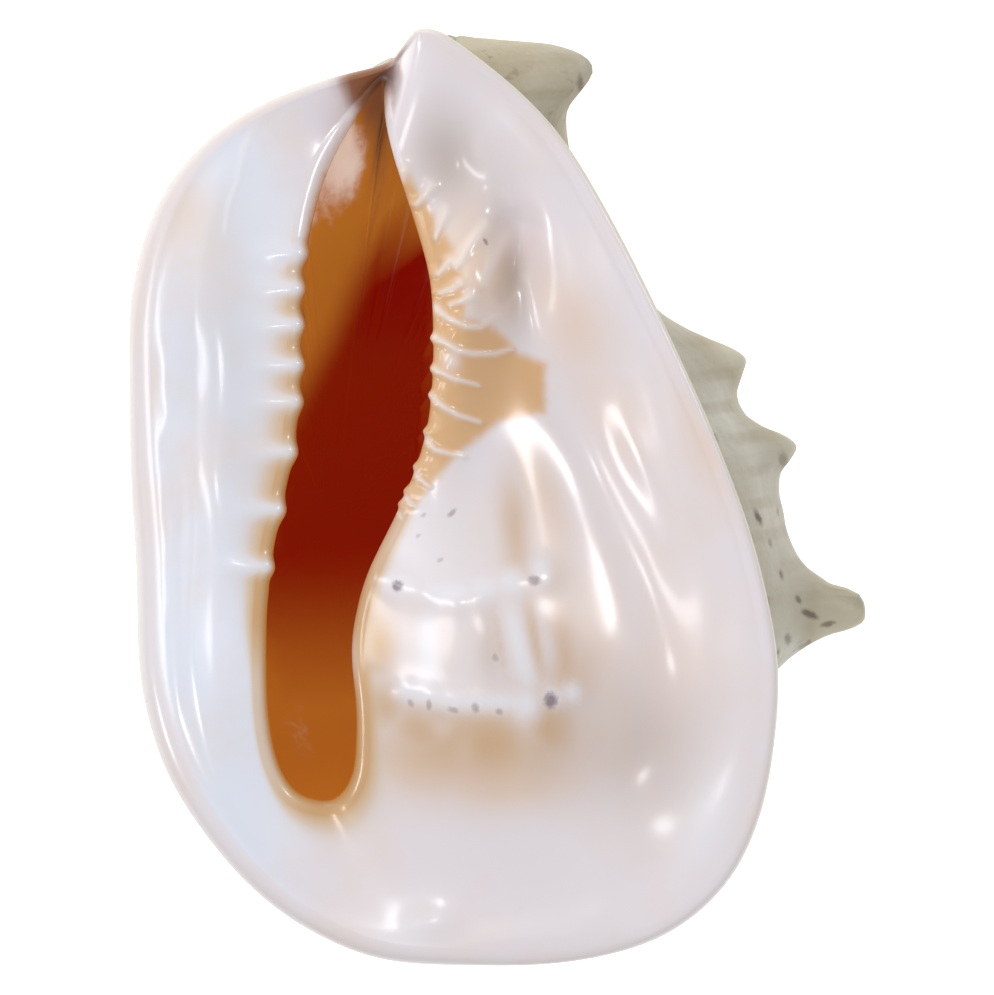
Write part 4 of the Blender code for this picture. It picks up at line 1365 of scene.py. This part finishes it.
# %% Floor
FLOOR_SIZE = 14.0
FLOOR_GLOW = 0.6
FLOOR_WHITE = paint(244, 244, 245)
FLOOR_SWING, FLOOR_LEAST = 0.1, 0.55


def floor_material():
    """Matt white with a faint cloud in its roughness, and a low glow of its own."""
    material, tree, shader, place = new_material("pale_table")
    cloud = noise_node(tree, place, 3)
    feed(shader, {
        "Roughness": math_node(tree, "MULTIPLY_ADD", cloud, FLOOR_SWING, FLOOR_LEAST),
        "Base Color": FLOOR_WHITE,
        "Emission Color": (1, 1, 1, 1),
        "Emission Strength": FLOOR_GLOW,
    })
    return material


half = FLOOR_SIZE / 2
floor_mesh = bpy.data.meshes.new("table")
floor_mesh.from_pydata([(-half, -half, 0), (half, -half, 0), (half, half, 0), (-half, half, 0)],
                       [], [(0, 1, 2, 3)])
floor_mesh.materials.append(floor_material())
floor = bpy.data.objects.new("table", floor_mesh)
bpy.context.scene.collection.objects.link(floor)
print("table:", FLOOR_SIZE, "m square")

# %% Light and camera
LENS = 1000.0
SENSOR = 36.0
# Height of the picture in the face's plane in mm, and how far the camera sees in m
FRAME_MM = 258.7
CAMERA_REACH = 100
LIGHT_TARGET = (-10, 0, -10)
# Tint of the windows and the studio
COOL = (0.97, 0.98, 1.0)
# Soft boxes in the face frame, in mm: name, place, size, power in watts, tint, and whether
# the box shades the surface or only shines in the glaze
SOFT_BOXES = (
    ("key", (-650, 550, 900), (700, 700), 6.0, (1.0, 0.985, 0.97), "shades"),
    ("fill", (400, -800, 800), (700, 500), 3.4, (0.98, 0.99, 1.0), "shades"),
    ("left_window", (-640, 10, 1000), (150, 420), 1.5, COOL, "shines"),
    ("side_window", (-1000, -330, 550), (180, 240), 1.6, COOL, "shines"),
    ("right_window", (860, 420, 720), (170, 170), 1.8, COOL, "shines"),
    ("front_window", (-140, 60, 1190), (120, 100), 0.6, COOL, "shines"),
)
WORLD_LIGHT = 0.45


def add_soft_box(name, place, size, power, tint, kind):
    """Area light that looks at the shell's face, seen by matt or by glossy surfaces only."""
    data = bpy.data.lights.new(name, "AREA")
    data.shape = "RECTANGLE"
    data.size, data.size_y = size[0] * MM, size[1] * MM
    data.energy = power
    data.color = tint
    light = bpy.data.objects.new(name, data)
    light.visible_camera = False
    light.visible_glossy = kind == "shines"
    light.visible_diffuse = kind == "shades"
    spot = as_it_lies(np.array(place, float)) * MM
    target = as_it_lies(np.array(LIGHT_TARGET, float)) * MM
    light.location = spot
    light.rotation_mode = "QUATERNION"
    light.rotation_quaternion = Vector(target - spot).to_track_quat("-Z", "Y")
    bpy.context.scene.collection.objects.link(light)


for box in SOFT_BOXES:
    add_soft_box(*box)

world = bpy.data.worlds.new("studio")
world.use_nodes = True
feed(world.node_tree.nodes["Background"], {"Color": (*COOL, 1.0), "Strength": WORLD_LIGHT})
bpy.context.scene.world = world
bpy.context.scene.view_settings.view_transform = "Standard"

camera_data = bpy.data.cameras.new("camera")
camera_data.lens = LENS
camera_data.sensor_width = SENSOR
camera_data.clip_end = CAMERA_REACH
camera = bpy.data.objects.new("camera", camera_data)
distance = LENS * FRAME_MM / SENSOR
turn = np.eye(4)
turn[:3, :3] = lying_turn()
turn[:3, 3] = as_it_lies(np.array((0.0, 0.0, distance))) * MM
camera.matrix_world = Matrix(turn.tolist())
bpy.context.scene.collection.objects.link(camera)
bpy.context.scene.camera = camera
print("camera:", round(distance * MM, 2), "m from the face")
